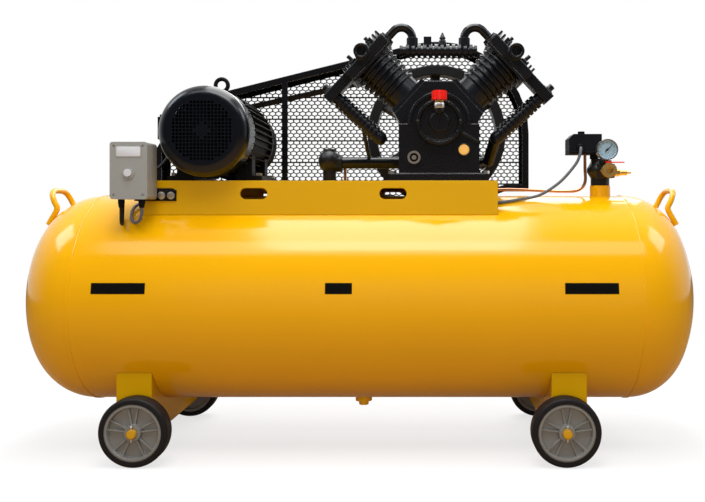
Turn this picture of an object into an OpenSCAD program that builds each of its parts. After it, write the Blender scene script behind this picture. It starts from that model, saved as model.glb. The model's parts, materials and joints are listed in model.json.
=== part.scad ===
// Belt driven piston air compressor on a horizontal receiver with four small wheels.
// Millimetres, +Z up, X along the receiver, the operator stands at -Y.
// The origin is on the floor under the middle of the receiver.

/* [Receiver] */
// outer radius of the receiver
tank_radius = 291; // [200:1:400]
// half length of the rolled shell between its two welded seams
shell_half = 746; // [500:1:1000]
// straight skirt of each pressed end before it begins to curve
head_skirt = 8; // [8:1:60]
// radius of the shallow crown of each end
crown_radius = 452; // [390:2:640]
// radius of the tight knuckle between skirt and crown
knuckle_radius = 156; // [60:1:160]
// plate thickness of shell and ends
tank_wall = 6; // [4:0.5:10]
// space between the axles and the receiver
tank_gap = 23; // [16:1:60]

/* [Wheels and legs] */
// distance of each axle from the middle of the receiver
axle_x = 562; // [400:1:680]
// offset of both axles from the middle of the receiver
axle_shift = -17; // [-40:1:40]
// offset of each leg from its axle, towards the end of the receiver
leg_shift = 16; // [0:1:24]
// outer radius of a tyre
tyre_radius = 90.5; // [70:0.5:110]
// width of a tyre
tyre_width = 50; // [36:1:64]
// seat radius of the tyre on its hub
rim_radius = 75; // [50:1:80]
// radius of a solid axle bar
axle_radius = 12.5; // [8:0.5:16]
// radial running clearance of a hub on its axle
hub_clearance = 0.08; // [0.02:0.01:0.1]
// side play of a wheel between its collar and its pin
wheel_play = 0.6; // [0.3:0.1:2]
// reach of the axles past the side of the receiver
axle_reach = 9; // [4:1:30]
// width of a leg along the receiver
leg_width = 94; // [70:2:130]
// sheet thickness of a leg
leg_sheet = 5; // [3:0.5:8]

/* [Platform] */
// left end of the platform
plate_left = -598; // [-620:1:-580]
// right end of the platform
plate_right = 377; // [372:1:480]
// half width of the platform
plate_half = 170; // [150:1:175]
// height of the platform top above the receiver
plate_rise = 40; // [36:1:80]
// sheet thickness of the platform
plate_sheet = 6; // [4:0.5:10]
// length of an oblong hand hole in the platform skirt
slot_length = 74; // [50:1:90]
// height of an oblong hand hole
slot_height = 30; // [16:1:36]

/* [Motor] */
// position of the motor along the receiver
motor_x = -415; // [-420:1:-380]
// height of the motor axis above the platform
motor_height = 131.5; // [126:0.5:160]
// radius of the plain motor frame under its ribs
motor_core = 112; // [100:1:116]
// height of a cooling rib
motor_rib = 14; // [6:1:20]
// number of cooling ribs round the frame
motor_ribs = 40; // [20:4:60]
// radius of the stator bore
stator_bore = 72; // [60:1:80]
// radial air gap between rotor and stator
air_gap = 0.6; // [0.4:0.1:2]
// radius of the fan cowl
cowl_radius = 123; // [112:1:126]
// front of the fan cowl
cowl_front = -230; // [-250:1:-215]
// open radius of the round air inlet in the cowl
inlet_radius = 88; // [70:1:92]
// spacing of the square mesh in the air inlet
inlet_pitch = 9.4; // [9:0.1:20]
// radius of the motor shaft
motor_shaft = 19; // [14:0.5:24]
// radial running clearance of a shaft in its bore
shaft_clearance = 0.06; // [0.02:0.01:0.1]

/* [Pump] */
// position of the pump crankshaft along the receiver
pump_x = 217; // [210:1:224]
// height of the crankshaft above the platform
crank_height = 160; // [154:1:170]
// plane of the two cylinders
bank_y = -45; // [-50:1:-40]
// angle of each cylinder from upright
bank_angle = 47; // [45:1:48]
// half width of the crankcase
case_half = 111; // [105:0.5:118]
// front face of the crankcase
case_front = -150; // [-160:1:-145]
// radius of a crank main journal
journal_radius = 25; // [20:0.5:30]
// outer radius of a main bearing
bearing_radius = 45; // [40:0.5:50]
// distance from crankshaft to the foot of a cylinder
barrel_foot = 112; // [110:1:118]
// distance from crankshaft to the top of a cylinder
barrel_top = 252; // [246:1:260]
// outer radius of the largest cylinder fin
fin_radius = 68; // [62:1:70]
// spacing of the cylinder fins
fin_pitch = 17; // [15:0.5:20]
// half width of a cylinder head
head_half = 74; // [68:1:78]
// offset of the finned discharge tube from its cylinder
tube_offset = 139; // [134:1:146]
// outer radius of the fins on a discharge tube
tube_fin_radius = 22; // [20:0.5:26]
// height of the horizontal intercooler above the crankshaft
cooler_height = 216; // [212:1:222]
// outer radius of the intercooler fins
cooler_radius = 20; // [16:1:24]
// radius of an intercooler return bend measured to its middle line
bend_radius = 31; // [28:1:34]
// outer radius of the return bend tube
bend_tube = 12.5; // [9:0.5:15]
// straight length of a return bend before it turns
bend_stub = 31; // [26:1:36]

/* [Belt drive] */
// outer radius of the flywheel
flywheel_radius = 220; // [205:1:230]
// outer radius of the motor pulley
pulley_radius = 112; // [96:1:118]
// first belt plane
belt_y = 225; // [224:1:227]
// spacing of the belts
belt_pitch = 19; // [18:0.5:21]
// number of belts
belt_count = 3; // [2:1:3]
// top width of a belt
belt_width = 16; // [12:0.5:17]
// depth of a belt
belt_depth = 10; // [8:0.5:12]
// space kept between a belt and its groove
belt_space = 0.5; // [0.4:0.05:1]

/* [Belt guard] */
// front plane of the guard
guard_front = 190; // [188:1:194]
// depth of the guard
guard_depth = 100; // [98:1:104]
// sheet thickness of the guard frame
guard_sheet = 3; // [2:0.5:5]
// width of the guard border
guard_border = 20; // [12:1:30]
// room between the flywheel and the round end of the guard
guard_room = 71; // [60:1:90]
// spacing of the openings in the guard mesh
mesh_pitch = 46; // [40:1:90]
// width of a strand of the guard mesh
mesh_strand = 5; // [2:0.5:10]

/* [Controls] */
// distance of the outlet group from the right seam
outlet_inset = 54; // [48:1:90]
// radius of the pressure gauge
gauge_radius = 30; // [25:0.5:36]
// radius of the threaded bore of the air outlet
outlet_bore = 9.3; // [6:0.1:12]
// depth of the threaded bore of the air outlet
outlet_depth = 18; // [10:1:22]
// width of the starter box
box_width = 98; // [80:1:104]
// height of the starter box
box_height = 150; // [110:1:170]
// depth of the starter box
box_depth = 80; // [60:1:84]
// space kept round each small moving control
control_space = 0.4; // [0.3:0.05:1]

/* [Hidden] */
$fn = 64;
tank_height = tyre_radius + axle_radius + tank_gap + tank_radius;
tank_top = tank_height + tank_radius;
axle_end = tank_radius + axle_reach;
plate_top = tank_top + plate_rise;
outlet_x = shell_half - outlet_inset;
knuckle_arm = crown_radius - knuckle_radius;
knuckle_r = tank_radius - knuckle_radius;
head_depth = crown_radius - sqrt(knuckle_arm * knuckle_arm - knuckle_r * knuckle_r);
tank_half = shell_half + head_skirt + head_depth;
crown_x = tank_half - crown_radius;
motor_front = -132;
rim_front = belt_y - belt_pitch / 2 - 3;
rim_rear = belt_y + (belt_count - 1) * belt_pitch + belt_pitch / 2 + 3;
tyre_outer = axle_end - 10;
tyre_inner = tyre_outer - tyre_width;
motor_z = plate_top + motor_height;
crank_z = plate_top + crank_height;
cooler_z = crank_z + cooler_height;
barrel_mid = barrel_top + 31;
pulley_gap = pump_x - motor_x;
belt_line = 4;
belt_taper = 0.26;
belt_proud = 1;
filler_y = case_front - 28;
flywheel_pitch = flywheel_radius - belt_line;
pulley_pitch = pulley_radius - belt_line;
outlet_z = tank_top + 72;
gauge_x = outlet_x + 8;
gauge_z = tank_top + 132;
gauge_face = -66;
switch_x = outlet_x - 49;
switch_z = tank_top + 121;
lever_z = outlet_z + 22;
valve_x = outlet_x + 10;
safety_y = 15;
box_x = motor_x - 181;
box_back = -plate_half - 18;
box_front = box_back - box_depth;
box_z = plate_top - 52;
lead_y = box_back - 56;
button_z = box_z + box_height * 0.46;
pipe_y = 112;
pipe_z = plate_top + 63;
check_x = pump_x - 330;
tube_foot = 100;
tap_height = 74;
branch_x = sin(bank_angle) * tube_foot + cos(bank_angle) * tube_offset;
branch_z = crank_z + cos(bank_angle) * tube_foot - sin(bank_angle) * tube_offset;

// A flat shape drawn in X and Z, given a depth along Y.
module slab(y, depth) {
  translate([0, y + depth, 0])
    rotate([90, 0, 0])
      linear_extrude(depth)
        children();
}

// A round bar along Y.
module bar_y(x, z, y0, y1, r) {
  translate([x, y0, z])
    rotate([-90, 0, 0])
      cylinder(r = r, h = y1 - y0);
}

// A round bar along X.
module bar_x(y, z, x0, x1, r) {
  translate([x0, y, z])
    rotate([0, 90, 0])
      cylinder(r = r, h = x1 - x0);
}

// A flat profile of radius and Y, turned about a line along Y.
module turn_y(x, z) {
  translate([x, 0, z])
    rotate([-90, 0, 0])
      rotate_extrude()
        children();
}

// A round bar between two points.
module strut(a, b, r) {
  d = b - a;
  translate(a)
    rotate([0, acos(d[2] / norm(d)), atan2(d[1], d[0])])
      cylinder(r = r, h = norm(d));
}

// A bent round bar through a list of points.
module bent_bar(points, r) {
  for (i = [0 : len(points) - 2])
    strut(points[i], points[i + 1], r);
  for (i = [1 : len(points) - 2])
    translate(points[i])
      sphere(r = r * 1.04);
}

// Points of a smooth curve through a list of points.
function curve_point(p, i, t) =
  let (a = p[max(i - 1, 0)], b = p[i], c = p[i + 1], d = p[min(i + 2, len(p) - 1)])
  0.5 * (2 * b + (c - a) * t + (2 * a - 5 * b + 4 * c - d) * t * t
    + (3 * b - a - 3 * c + d) * t * t * t);
function curve(p, steps) = [
  for (i = [0 : len(p) - 2]) for (k = [0 : steps - 1]) curve_point(p, i, k / steps),
  p[len(p) - 1]
];
function unit(v) = v / norm(v);
function heading(p, i) = unit(p[min(i + 1, len(p) - 1)] - p[max(i - 1, 0)]);
function side_step(n, t) = unit(n - (n * t) * t);
// Sideways directions carried along a path without twisting.
function sides_along(p, n, i = 0) =
  i >= len(p) ? [] : let (m = side_step(n, heading(p, i))) concat([m], sides_along(p, m, i + 1));

// A flexible round lead along a smooth path.
module lead(points, r, steps = 4, around = 10) {
  path = curve(points, steps);
  first = abs(heading(path, 0)[2]) < 0.9 ? [0, 0, 1] : [1, 0, 0];
  across = sides_along(path, first);
  rings = len(path);
  skin = [
    for (i = [0 : rings - 1]) for (k = [0 : around - 1])
      path[i] + r * (cos(360 * k / around) * across[i]
        + sin(360 * k / around) * cross(heading(path, i), across[i]))
  ];
  walls = [
    for (i = [0 : rings - 2]) for (k = [0 : around - 1])
      [i * around + k, i * around + (k + 1) % around,
        (i + 1) * around + (k + 1) % around, (i + 1) * around + k]
  ];
  near_end = [for (k = [0 : around - 1]) around - 1 - k];
  far_end = [for (k = [0 : around - 1]) (rings - 1) * around + k];
  faces = concat([near_end], walls, [far_end]);
  polyhedron(skin, [for (f = faces) [for (j = [len(f) - 1 : -1 : 0]) f[j]]]);
}

// Comb shaped half section of a finned tube, radius against length.
function comb(count, pitch, thick, inner, outer, start) = [
  for (i = [0 : count - 1]) each [
    [inner, start + i * pitch], [outer, start + i * pitch],
    [outer, start + i * pitch + thick], [inner, start + i * pitch + thick]
  ]
];

// Convex outline drawn inward by a distance, points in anticlockwise order.
function edge_normal(p, i) =
  let (d = unit(p[(i + 1) % len(p)] - p[i])) [-d[1], d[0]];
function inset(p, d) = [
  for (i = [0 : len(p) - 1])
    let (
      a = edge_normal(p, (i + len(p) - 1) % len(p)),
      b = edge_normal(p, i)
    )
    p[i] + d * (a + b) / (1 + a * b)
];

// Half section of a pressed end, from its skirt to its crown.
module end_section(shrink) {
  r = tank_radius - shrink;
  k = knuckle_radius - shrink;
  c = head_skirt + head_depth - crown_radius;
  reach = (crown_radius + 40) / knuckle_arm;
  corner = [knuckle_r * reach, c + (head_skirt - c) * reach];
  square([r, head_skirt]);
  intersection() {
    translate([0, c])
      circle(r = crown_radius - shrink, $fn = 200);
    polygon([[0, c + 20], [knuckle_r, head_skirt], corner, [0, c + crown_radius + 40]]);
    translate([0, head_skirt])
      square([tank_radius, crown_radius]);
  }
  intersection() {
    translate([knuckle_r, head_skirt])
      circle(r = k, $fn = 120);
    polygon([[knuckle_r, head_skirt], [knuckle_r + 2 * k, head_skirt],
      [knuckle_r + 2 * k, head_skirt + 2 * k], corner]);
  }
}

module tank_head(side) {
  color("gold")
    translate([side * shell_half, 0, tank_height])
      rotate([0, side * 90, 0])
        rotate_extrude($fn = 160)
          difference() {
            union() {
              end_section(0);
              translate([tank_radius - 2, 0])
                square([4, 7]);
            }
            translate([0, -1])
              square([tank_radius - tank_wall, 2]);
            end_section(tank_wall);
          }
}

module tank_head_left() {
  tank_head(-1);
}

module tank_head_right() {
  tank_head(1);
}

module tank_shell() {
  color("gold")
    difference() {
      union() {
        bar_x(0, tank_height, -shell_half, shell_half, tank_radius, $fn = 160);
        translate([outlet_x, 0, tank_top - 20])
          cylinder(r = 29.5, h = 50);
        translate([check_x, pipe_y, tank_top - 40])
          cylinder(r = 24, h = 36);
        translate([0, 0, tank_height - tank_radius - 16])
          cylinder(r = 24, h = 30);
        translate([0, 0, tank_height - tank_radius - 28])
          cylinder(r = 14, h = 20, $fn = 6);
      }
      bar_x(0, tank_height, -shell_half - 1, shell_half + 1, tank_radius - tank_wall, $fn = 160);
    }
}

// Height of the crown of an end plus a distance, at a place along and across the receiver.
function over_crown(x, y, above) =
  tank_height + sqrt(pow(crown_radius + above, 2) - pow(x - crown_x, 2) - y * y);
// Two bent bars at the upper corners of the receiver, one at each end.
module lifting_handles() {
  r = 8;
  spread = 61;
  foot = tank_half - 46;
  root = tank_half - 69;
  grip = tank_half - 48;
  top = tank_top + 15;
  low = [foot, over_crown(foot, spread, r + 0.2)];
  mid = [root + 6, over_crown(root + 6, spread, r + 0.2)];
  knee = [root - 1, over_crown(root - 1, spread, r + 0.2) + 7];
  shin = [root + 7, knee[1] + 30];
  side_view = [low, mid, knee, shin, [grip - 2, top - 22]];
  color("gold")
    for (side = [-1, 1])
      lead(concat(
        [for (p = side_view) [side * p[0], -spread, p[1]]],
        [[side * grip, -spread + 12, top], [side * grip, spread - 12, top]],
        [for (i = [len(side_view) - 1 : -1 : 0]) [side * side_view[i][0], spread, side_view[i][1]]]
      ), r, 4, 12);
}

// Place of one axle along the receiver.
function axle_at(side) = axle_shift + side * axle_x;
// Welded saddle of bent sheet that carries one axle under the receiver.
module leg(side) {
  low = tyre_radius - 27;
  face = tyre_inner - 12;
  reach = sqrt(max(tank_radius * tank_radius - face * face, 1));
  color("gold")
    translate([axle_at(side) + side * leg_shift, 0, 0])
      difference() {
        union() {
          for (s = [-1, 1]) {
            translate([-leg_width / 2, s * (face - leg_sheet / 2) - leg_sheet / 2, low])
              cube([leg_width, leg_sheet, tank_height - reach + 14 - low]);
            translate([s * (leg_width - leg_sheet) / 2 - leg_sheet / 2, 1 - face, low])
              cube([leg_sheet, 2 * face - 2, tank_height - reach - low]);
          }
        }
        bar_x(0, tank_height, -leg_width, leg_width, tank_radius + 0.05, $fn = 160);
        bar_y(-side * leg_shift, tyre_radius, -axle_end, axle_end, axle_radius);
      }
}

module leg_left() {
  leg(-1);
}

module leg_right() {
  leg(1);
}

module axles() {
  color("gold")
    for (side = [-1, 1])
      difference() {
        union() {
          bar_y(axle_at(side), tyre_radius, -axle_end, axle_end, axle_radius);
          for (s = [-1, 1])
            bar_y(axle_at(side), tyre_radius, s * (tyre_inner - wheel_play / 2 - 1.5) - 1.5,
              s * (tyre_inner - wheel_play / 2 - 1.5) + 1.5, axle_radius + 7);
        }
        for (s = [-1, 1])
          translate([axle_at(side), s * (axle_end - 5), tyre_radius - axle_radius - 4])
            cylinder(r = 2.2, h = 2 * axle_radius + 8);
      }
}

module split_pins() {
  color("silver")
    for (side = [-1, 1]) for (s = [-1, 1])
      translate([axle_at(side), s * (axle_end - 5), tyre_radius])
        union() {
          translate([0, 0, -axle_radius - 9])
            cylinder(r = 2.1, h = 2 * axle_radius + 14);
          translate([0, 0, axle_radius + 5])
            sphere(r = 3.4);
        }
}

module hub(side, s) {
  reach = tyre_width / 2;
  color("gray")
    translate([axle_at(side), s * (tyre_outer - reach), tyre_radius])
      rotate([s * -90, 0, 0])
        difference() {
          union() {
            rotate_extrude($fn = 96)
              polygon([[axle_radius + hub_clearance, -reach], [21, -reach], [21, -5], [rim_radius - 8, -5],
                [rim_radius - 8, -reach + 3], [rim_radius, -reach + 3], [rim_radius, reach - 3],
                [rim_radius - 3, reach - 1], [rim_radius - 8, reach - 1], [rim_radius - 11, 9],
                [23, 9], [21, reach], [axle_radius + hub_clearance, reach]]);
            for (k = [0 : 4])
              for (w = [-1, 1])
                rotate([0, 0, 90 + 72 * k + w * 11])
                  translate([19, -2.2, 5])
                    cube([rim_radius - 28, 4.4, 12]);
          }
        }
}

module tyre(side, s) {
  reach = tyre_width / 2;
  round = min(9, (tyre_radius - rim_radius) * 0.6);
  color("dimgray")
    translate([axle_at(side), s * (tyre_outer - reach), tyre_radius])
      rotate([s * -90, 0, 0])
        rotate_extrude($fn = 120) {
          translate([rim_radius, -reach])
            square([tyre_radius - rim_radius - round, tyre_width]);
          translate([rim_radius, round - reach])
            square([tyre_radius - rim_radius, tyre_width - 2 * round]);
          for (e = [-1, 1])
            translate([tyre_radius - round, e * (reach - round)])
              intersection() {
                circle(r = round);
                translate([0, e > 0 ? 0 : -round])
                  square([round, round]);
              }
        }
}

module hub_front_left() {
  hub(-1, -1);
}

module hub_front_right() {
  hub(1, -1);
}

module hub_rear_left() {
  hub(-1, 1);
}

module hub_rear_right() {
  hub(1, 1);
}

module tyre_front_left() {
  tyre(-1, -1);
}

module tyre_front_right() {
  tyre(1, -1);
}

module tyre_rear_left() {
  tyre(-1, 1);
}

module tyre_rear_right() {
  tyre(1, 1);
}

// Oblong outline lying along X.
module oblong(length, height) {
  square([length - height, height], center = true);
  for (e = [-1, 1])
    translate([e * (length - height) / 2, 0])
      circle(r = height / 2);
}

// Inverted channel that carries motor and pump and rests on the receiver.
module base_plate() {
  low = tank_height + sqrt(tank_radius * tank_radius - plate_half * plate_half) - 12;
  length = plate_right - plate_left;
  color("gold")
    difference() {
      translate([plate_left, -plate_half, low])
        cube([length, 2 * plate_half, plate_top - low]);
      translate([plate_left - 1, plate_sheet - plate_half, low - 1])
        cube([length + 2, 2 * (plate_half - plate_sheet), plate_top - plate_sheet - low + 1]);
      bar_x(0, tank_height, plate_left - 1, plate_right + 1, tank_radius + 0.05, $fn = 160);
      for (x = [plate_left + 62, motor_x + 126, pump_x - 126])
        slab(-plate_half - 1, 2 * plate_half + 2)
          translate([x, plate_top - 36])
            oblong(slot_length, slot_height);
      translate([check_x, pipe_y, plate_top - 20])
        cylinder(r = 30, h = 40);
      translate([check_x + 48, pipe_y, plate_top - 20])
        cylinder(r = 9, h = 40);
    }
}

// Ribbed stator frame with its bored end shields, feet and lifting eye.
module motor_housing() {
  rear = 150;
  front = motor_front;
  color([0.12, 0.12, 0.13])
    difference() {
      union() {
        slab(front, rear - front)
          translate([motor_x, motor_z])
            union() {
              circle(r = motor_core);
              for (k = [0 : motor_ribs - 1])
                rotate([0, 0, 360 * (k + 0.5) / motor_ribs])
                  translate([motor_core - 6, -1.6])
                    square([motor_rib + 6, 3.2]);
            }
        bar_y(motor_x, motor_z, rear, rear + 12, motor_core + 9);
        bar_y(motor_x, motor_z, rear + 12, rear + 20, 52);
        for (s = [-1, 1]) {
          translate([motor_x + s * 96 - 38, -92, plate_top])
            cube([76, 236, 16]);
          for (y = [-92, 100])
            translate([motor_x + s * 84 - 22, y, plate_top])
              cube([44, 44, 74]);
        }
        translate([motor_x - 22, -28, motor_z + motor_core - 6])
          cube([44, 44, 24]);
        translate([motor_x, -6, motor_z + motor_core + 10])
          cylinder(r = 14, h = 14);
        translate([motor_x, -6, motor_z + motor_core + 40])
          rotate([90, 0, 0])
            rotate_extrude()
              translate([18, 0])
                circle(r = 6);
        translate([motor_x - motor_core - 18, -60, motor_z - 8])
          cube([40, 100, 60]);
      }
      bar_y(motor_x, motor_z, front + 14, rear - 4, stator_bore);
      bar_y(motor_x, motor_z, front - 1, rear + 30, motor_shaft + shaft_clearance);
      translate([motor_x - 40, -100, plate_top - 1])
        cube([80, 260, 22]);
      for (s = [-1, 1]) for (y = [-70, 122])
        translate([motor_x + s * 120, y, plate_top - 1])
          cylinder(r = 6.2, h = 18);
    }
}

// A flat sheet whose first loop is its outline and whose others are holes.
module pierced(loops) {
  starts = [for (i = 0, n = 0; i < len(loops); n = n + len(loops[i]), i = i + 1) n];
  polygon(
    [for (l = loops) each l],
    [for (i = [0 : len(loops) - 1]) [for (k = [0 : len(loops[i]) - 1]) starts[i] + k]]
  );
}
function ring(x, z, r) = [for (a = [0 : 10 : 350]) [x + r * cos(a), z + r * sin(a)]];
// Square cells of the air inlet that lie whole inside its rim.
function inlet_cells() = [
  for (i = [-9 : 9]) for (j = [-9 : 9])
    let (x = i * inlet_pitch, z = j * inlet_pitch, h = inlet_pitch / 2 - 1.4)
    if (norm([abs(x) + h, abs(z) + h]) < inlet_radius - 1 && norm([x, z]) > 20)
      [[x - h, z - h], [x + h, z - h], [x + h, z + h], [x - h, z + h]]
];

// Pressed sheet cup over the fan with a square mesh in its round air inlet.
module fan_cowl() {
  wall = 2.5;
  bend = 32;
  back = motor_front;
  color([0.1, 0.1, 0.11])
    union() {
      turn_y(motor_x, motor_z)
        difference() {
          union() {
            translate([0, cowl_front])
              square([cowl_radius - bend, bend + 1]);
            translate([0, cowl_front + bend])
              square([cowl_radius, back - cowl_front - bend]);
            translate([cowl_radius - bend, cowl_front + bend])
              circle(r = bend);
          }
          translate([-1, cowl_front + bend])
            square([cowl_radius - wall + 1, 200]);
          translate([-1, cowl_front + wall])
            square([cowl_radius - bend + 1, 60]);
          translate([cowl_radius - bend, cowl_front + bend])
            circle(r = bend - wall);
          translate([-1, cowl_front - 1])
            square([inlet_radius + 1, 30]);
        }
      slab(cowl_front, wall)
        translate([motor_x, motor_z])
          pierced(concat([ring(0, 0, inlet_radius + 1)], inlet_cells()));
    }
}

module terminal_box() {
  x = motor_x - motor_core - 18;
  color([0.12, 0.12, 0.13])
    difference() {
      union() {
        translate([x - 32, -68, motor_z - 16])
          cube([32, 116, 76]);
        translate([x - 40, -62, motor_z - 10])
          cube([10, 104, 64]);
      }
      for (y = [-58, 38]) for (z = [-6, 50])
        translate([x - 41, y, motor_z + z])
          rotate([0, 90, 0])
            cylinder(r = 2.5, h = 5);
    }
}

// Hexagon bolts through the feet of motor and pump.
module foot_bolts() {
  color("silver") {
    for (s = [-1, 1]) for (y = [-70, 122])
      translate([motor_x + s * 120, y, plate_top + 16]) {
        cylinder(r = 11, h = 8, $fn = 6);
        translate([0, 0, -15.9])
          cylinder(r = 6, h = 20);
      }
    for (s = [-1, 1]) for (y = [case_front + 18, 40])
      translate([pump_x + s * 129, y, plate_top + 20]) {
        cylinder(r = 11, h = 8, $fn = 6);
        translate([0, 0, -19.9])
          cylinder(r = 6, h = 24);
      }
    translate([pump_x - 69, 0, crank_z - 96]) {
      difference() {
        bar_y(0, 0, case_front - 9, case_front, 18);
        bar_y(0, 0, case_front - 10, case_front - 4, 12);
      }
      bar_y(0, 0, case_front - 10, case_front - 3, 6, $fn = 6);
    }
  }
}

// Cast crankcase with a flanged foot, an arched front bearing wall and two sloping seats.
module crankcase() {
  rear = 50;
  seat = 62;
  c = cos(bank_angle);
  s = sin(bank_angle);
  color([0.1, 0.1, 0.11])
    difference() {
      union() {
        slab(case_front + 44, rear - case_front - 44)
          translate([pump_x, crank_z])
            polygon([
              [-case_half, -crank_height + 10], [case_half, -crank_height + 10], [case_half, 6],
              [barrel_foot * s + seat * c, barrel_foot * c - seat * s],
              [barrel_foot * s - seat * c, barrel_foot * c + seat * s],
              [seat * c - barrel_foot * s, barrel_foot * c + seat * s],
              [-barrel_foot * s - seat * c, barrel_foot * c - seat * s], [-case_half, 6]
            ]);
        slab(case_front, 45)
          translate([pump_x - case_half, plate_top + 10])
            square([2 * case_half, crank_height - 13]);
        bar_y(pump_x, crank_z, case_front, case_front + 45, 85);
        slab(case_front - 5, 6)
          translate([pump_x, crank_z])
            difference() {
              circle(r = 85);
              circle(r = 76);
              translate([-90, -90])
                square([180, 87]);
            }
        translate([pump_x - case_half - 26, case_front - 4, plate_top])
          cube([2 * case_half + 52, rear - case_front + 16, 20]);
        bar_y(pump_x, crank_z, rear, rear + 34, 58);
        translate([pump_x - 34, bank_y - 40, crank_z + 110])
          cube([68, 80, 14]);
        translate([pump_x + 68, case_front - 5, crank_z - 77])
          rotate([0, 30, 0])
            translate([-30, 0, 38])
              cube([50, 6, 5]);
      }
      bar_y(pump_x, crank_z, case_front + 32, rear - 28, 74);
      bar_y(pump_x, crank_z, case_front - 1, case_front + 33, bearing_radius);
      bar_y(pump_x, crank_z, rear - 29, rear + 2, bearing_radius);
      bar_y(pump_x, crank_z, rear, rear + 40, journal_radius + 2);
      for (e = [-1, 1]) for (y = [case_front + 18, 40])
        translate([pump_x + e * 129, y, plate_top - 1])
          cylinder(r = 6.2, h = 22);
    }
}

// Round cover over the front main bearing, with the oil filler seat on its top.
module bearing_cover() {
  color([0.1, 0.1, 0.11])
    difference() {
      union() {
        turn_y(pump_x, crank_z)
          polygon([[0, case_front - 24], [26, case_front - 24], [28, case_front - 14], [50, case_front - 12],
            [54, case_front - 22], [62, case_front - 22], [64, case_front], [0, case_front]]);
        translate([pump_x, filler_y, crank_z + 26])
          cylinder(r = 13, h = 24);
        translate([pump_x - 13, filler_y, crank_z + 26])
          cube([26, 20, 24]);
        for (k = [0 : 5])
          rotate_about(k * 60 + 30)
            bar_y(0, 57.5, case_front - 27, case_front - 21, 5, $fn = 6);
      }
      translate([pump_x, filler_y, crank_z + 38])
        cylinder(r = 8, h = 20);
      translate([pump_x - 22, case_front - 40, crank_z + 50])
        cube([44, 33.5, 40]);
    }
}

// A place turned about the crankshaft line.
module rotate_about(angle) {
  translate([pump_x, 0, crank_z])
    rotate([0, angle, 0])
      children();
}

module main_bearings() {
  color("silver")
    for (y = [case_front + 6, 24])
      turn_y(pump_x, crank_z)
        polygon([[journal_radius + shaft_clearance, y], [bearing_radius - 0.02, y],
          [bearing_radius - 0.02, y + 24], [journal_radius + shaft_clearance, y + 24]]);
}

// Solid crankshaft with two webs, one crankpin and a long rear stub for the flywheel.
module crankshaft() {
  throw = 32;
  color("silver")
    union() {
      bar_y(pump_x, crank_z, case_front + 3, bank_y - 33, journal_radius);
      bar_y(pump_x, crank_z, bank_y + 33, 196, journal_radius);
      bar_y(pump_x, crank_z, 196, rim_rear + 1, journal_radius - 3);
      bar_y(pump_x, crank_z + throw, bank_y - 34, bank_y + 34, 22);
      for (y = [bank_y - 46, bank_y + 32])
        slab(y, 14)
          translate([pump_x, crank_z])
            intersection() {
              circle(r = 68);
              union() {
                translate([-34, -20])
                  square([68, 90]);
                translate([-60, -70])
                  square([120, 60]);
              }
            }
    }
}

// Everything on one cylinder bank, drawn upright with its inner side at +X.
module bank(side) {
  translate([pump_x, bank_y, crank_z])
    rotate([0, side * bank_angle, 0])
      mirror([side > 0 ? 1 : 0, 0, 0])
        children();
}

module cylinder_barrel(side) {
  fins = floor((barrel_top - barrel_foot - 22) / fin_pitch);
  core = 52;
  color([0.1, 0.1, 0.11])
    bank(side) {
      translate([-61, -61, barrel_foot])
        cube([122, 122, 11]);
      rotate_extrude($fn = 96)
        polygon(concat([[0, barrel_foot + 5]], [[core, barrel_foot + 5]], [
          for (i = [0 : fins - 1]) each let (
            z = barrel_top - 4 - (fins - i) * fin_pitch + fin_pitch,
            r = fin_radius - 1.6 * (fins - 1 - i)
          ) [[core, z - 9], [r - 2, z - 8], [r, z - 6], [r, z - 3], [r - 2, z - 1], [core, z]]
        ], [[core, barrel_top], [0, barrel_top]]));
    }
}

module cylinder_left() {
  cylinder_barrel(-1);
}

module cylinder_right() {
  cylinder_barrel(1);
}

// Cylinder head with its valve plate, cooling ribs, inlet boss and discharge arm.
module cylinder_head(side) {
  color([0.1, 0.1, 0.11])
    bank(side)
      difference() {
        union() {
          translate([-head_half, -70, barrel_top])
            cube([2 * head_half, 140, 8]);
          translate([-head_half + 3, -67, barrel_top + 8])
            cube([2 * head_half - 6, 134, 4]);
          translate([-head_half, -70, barrel_top + 12])
            cube([2 * head_half, 140, 26]);
          for (x = [30, 43, 56, 69, -45, -57, -69])
            translate([x - 3, -66, barrel_top + 36])
              cube([6, 132, x > 0 ? 20 : 14]);
          translate([-32, -50, barrel_top + 36])
            cube([54, 100, 10]);
          translate([0, -86, barrel_top + 43])
            rotate([-90, 0, 0])
              cylinder(r = 22, h = 110);
          for (x = [-34, 36]) for (y = [-54, 54])
            translate([x, y, barrel_top + 36]) {
              cylinder(r = 10, h = 12, $fn = 6);
              cylinder(r = 5.5, h = 30);
            }
          translate([head_half - 14, 0, barrel_mid - 2])
            rotate([0, 90, 0])
              cylinder(r = 24, h = 22);
          translate([-tube_offset - 24, -24, barrel_top + 16])
            cube([tube_offset - head_half + 34, 48, 30]);
          translate([-tube_offset, 0, barrel_top + 44]) {
            cylinder(r = 17, h = 8, $fn = 6);
            cylinder(r = 10, h = 22);
          }
        }
        translate([0, -87, barrel_top + 43])
          rotate([-90, 0, 0])
            cylinder(r = 14, h = 20);
      }
}

module head_left() {
  cylinder_head(-1);
}

module head_right() {
  cylinder_head(1);
}

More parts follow.
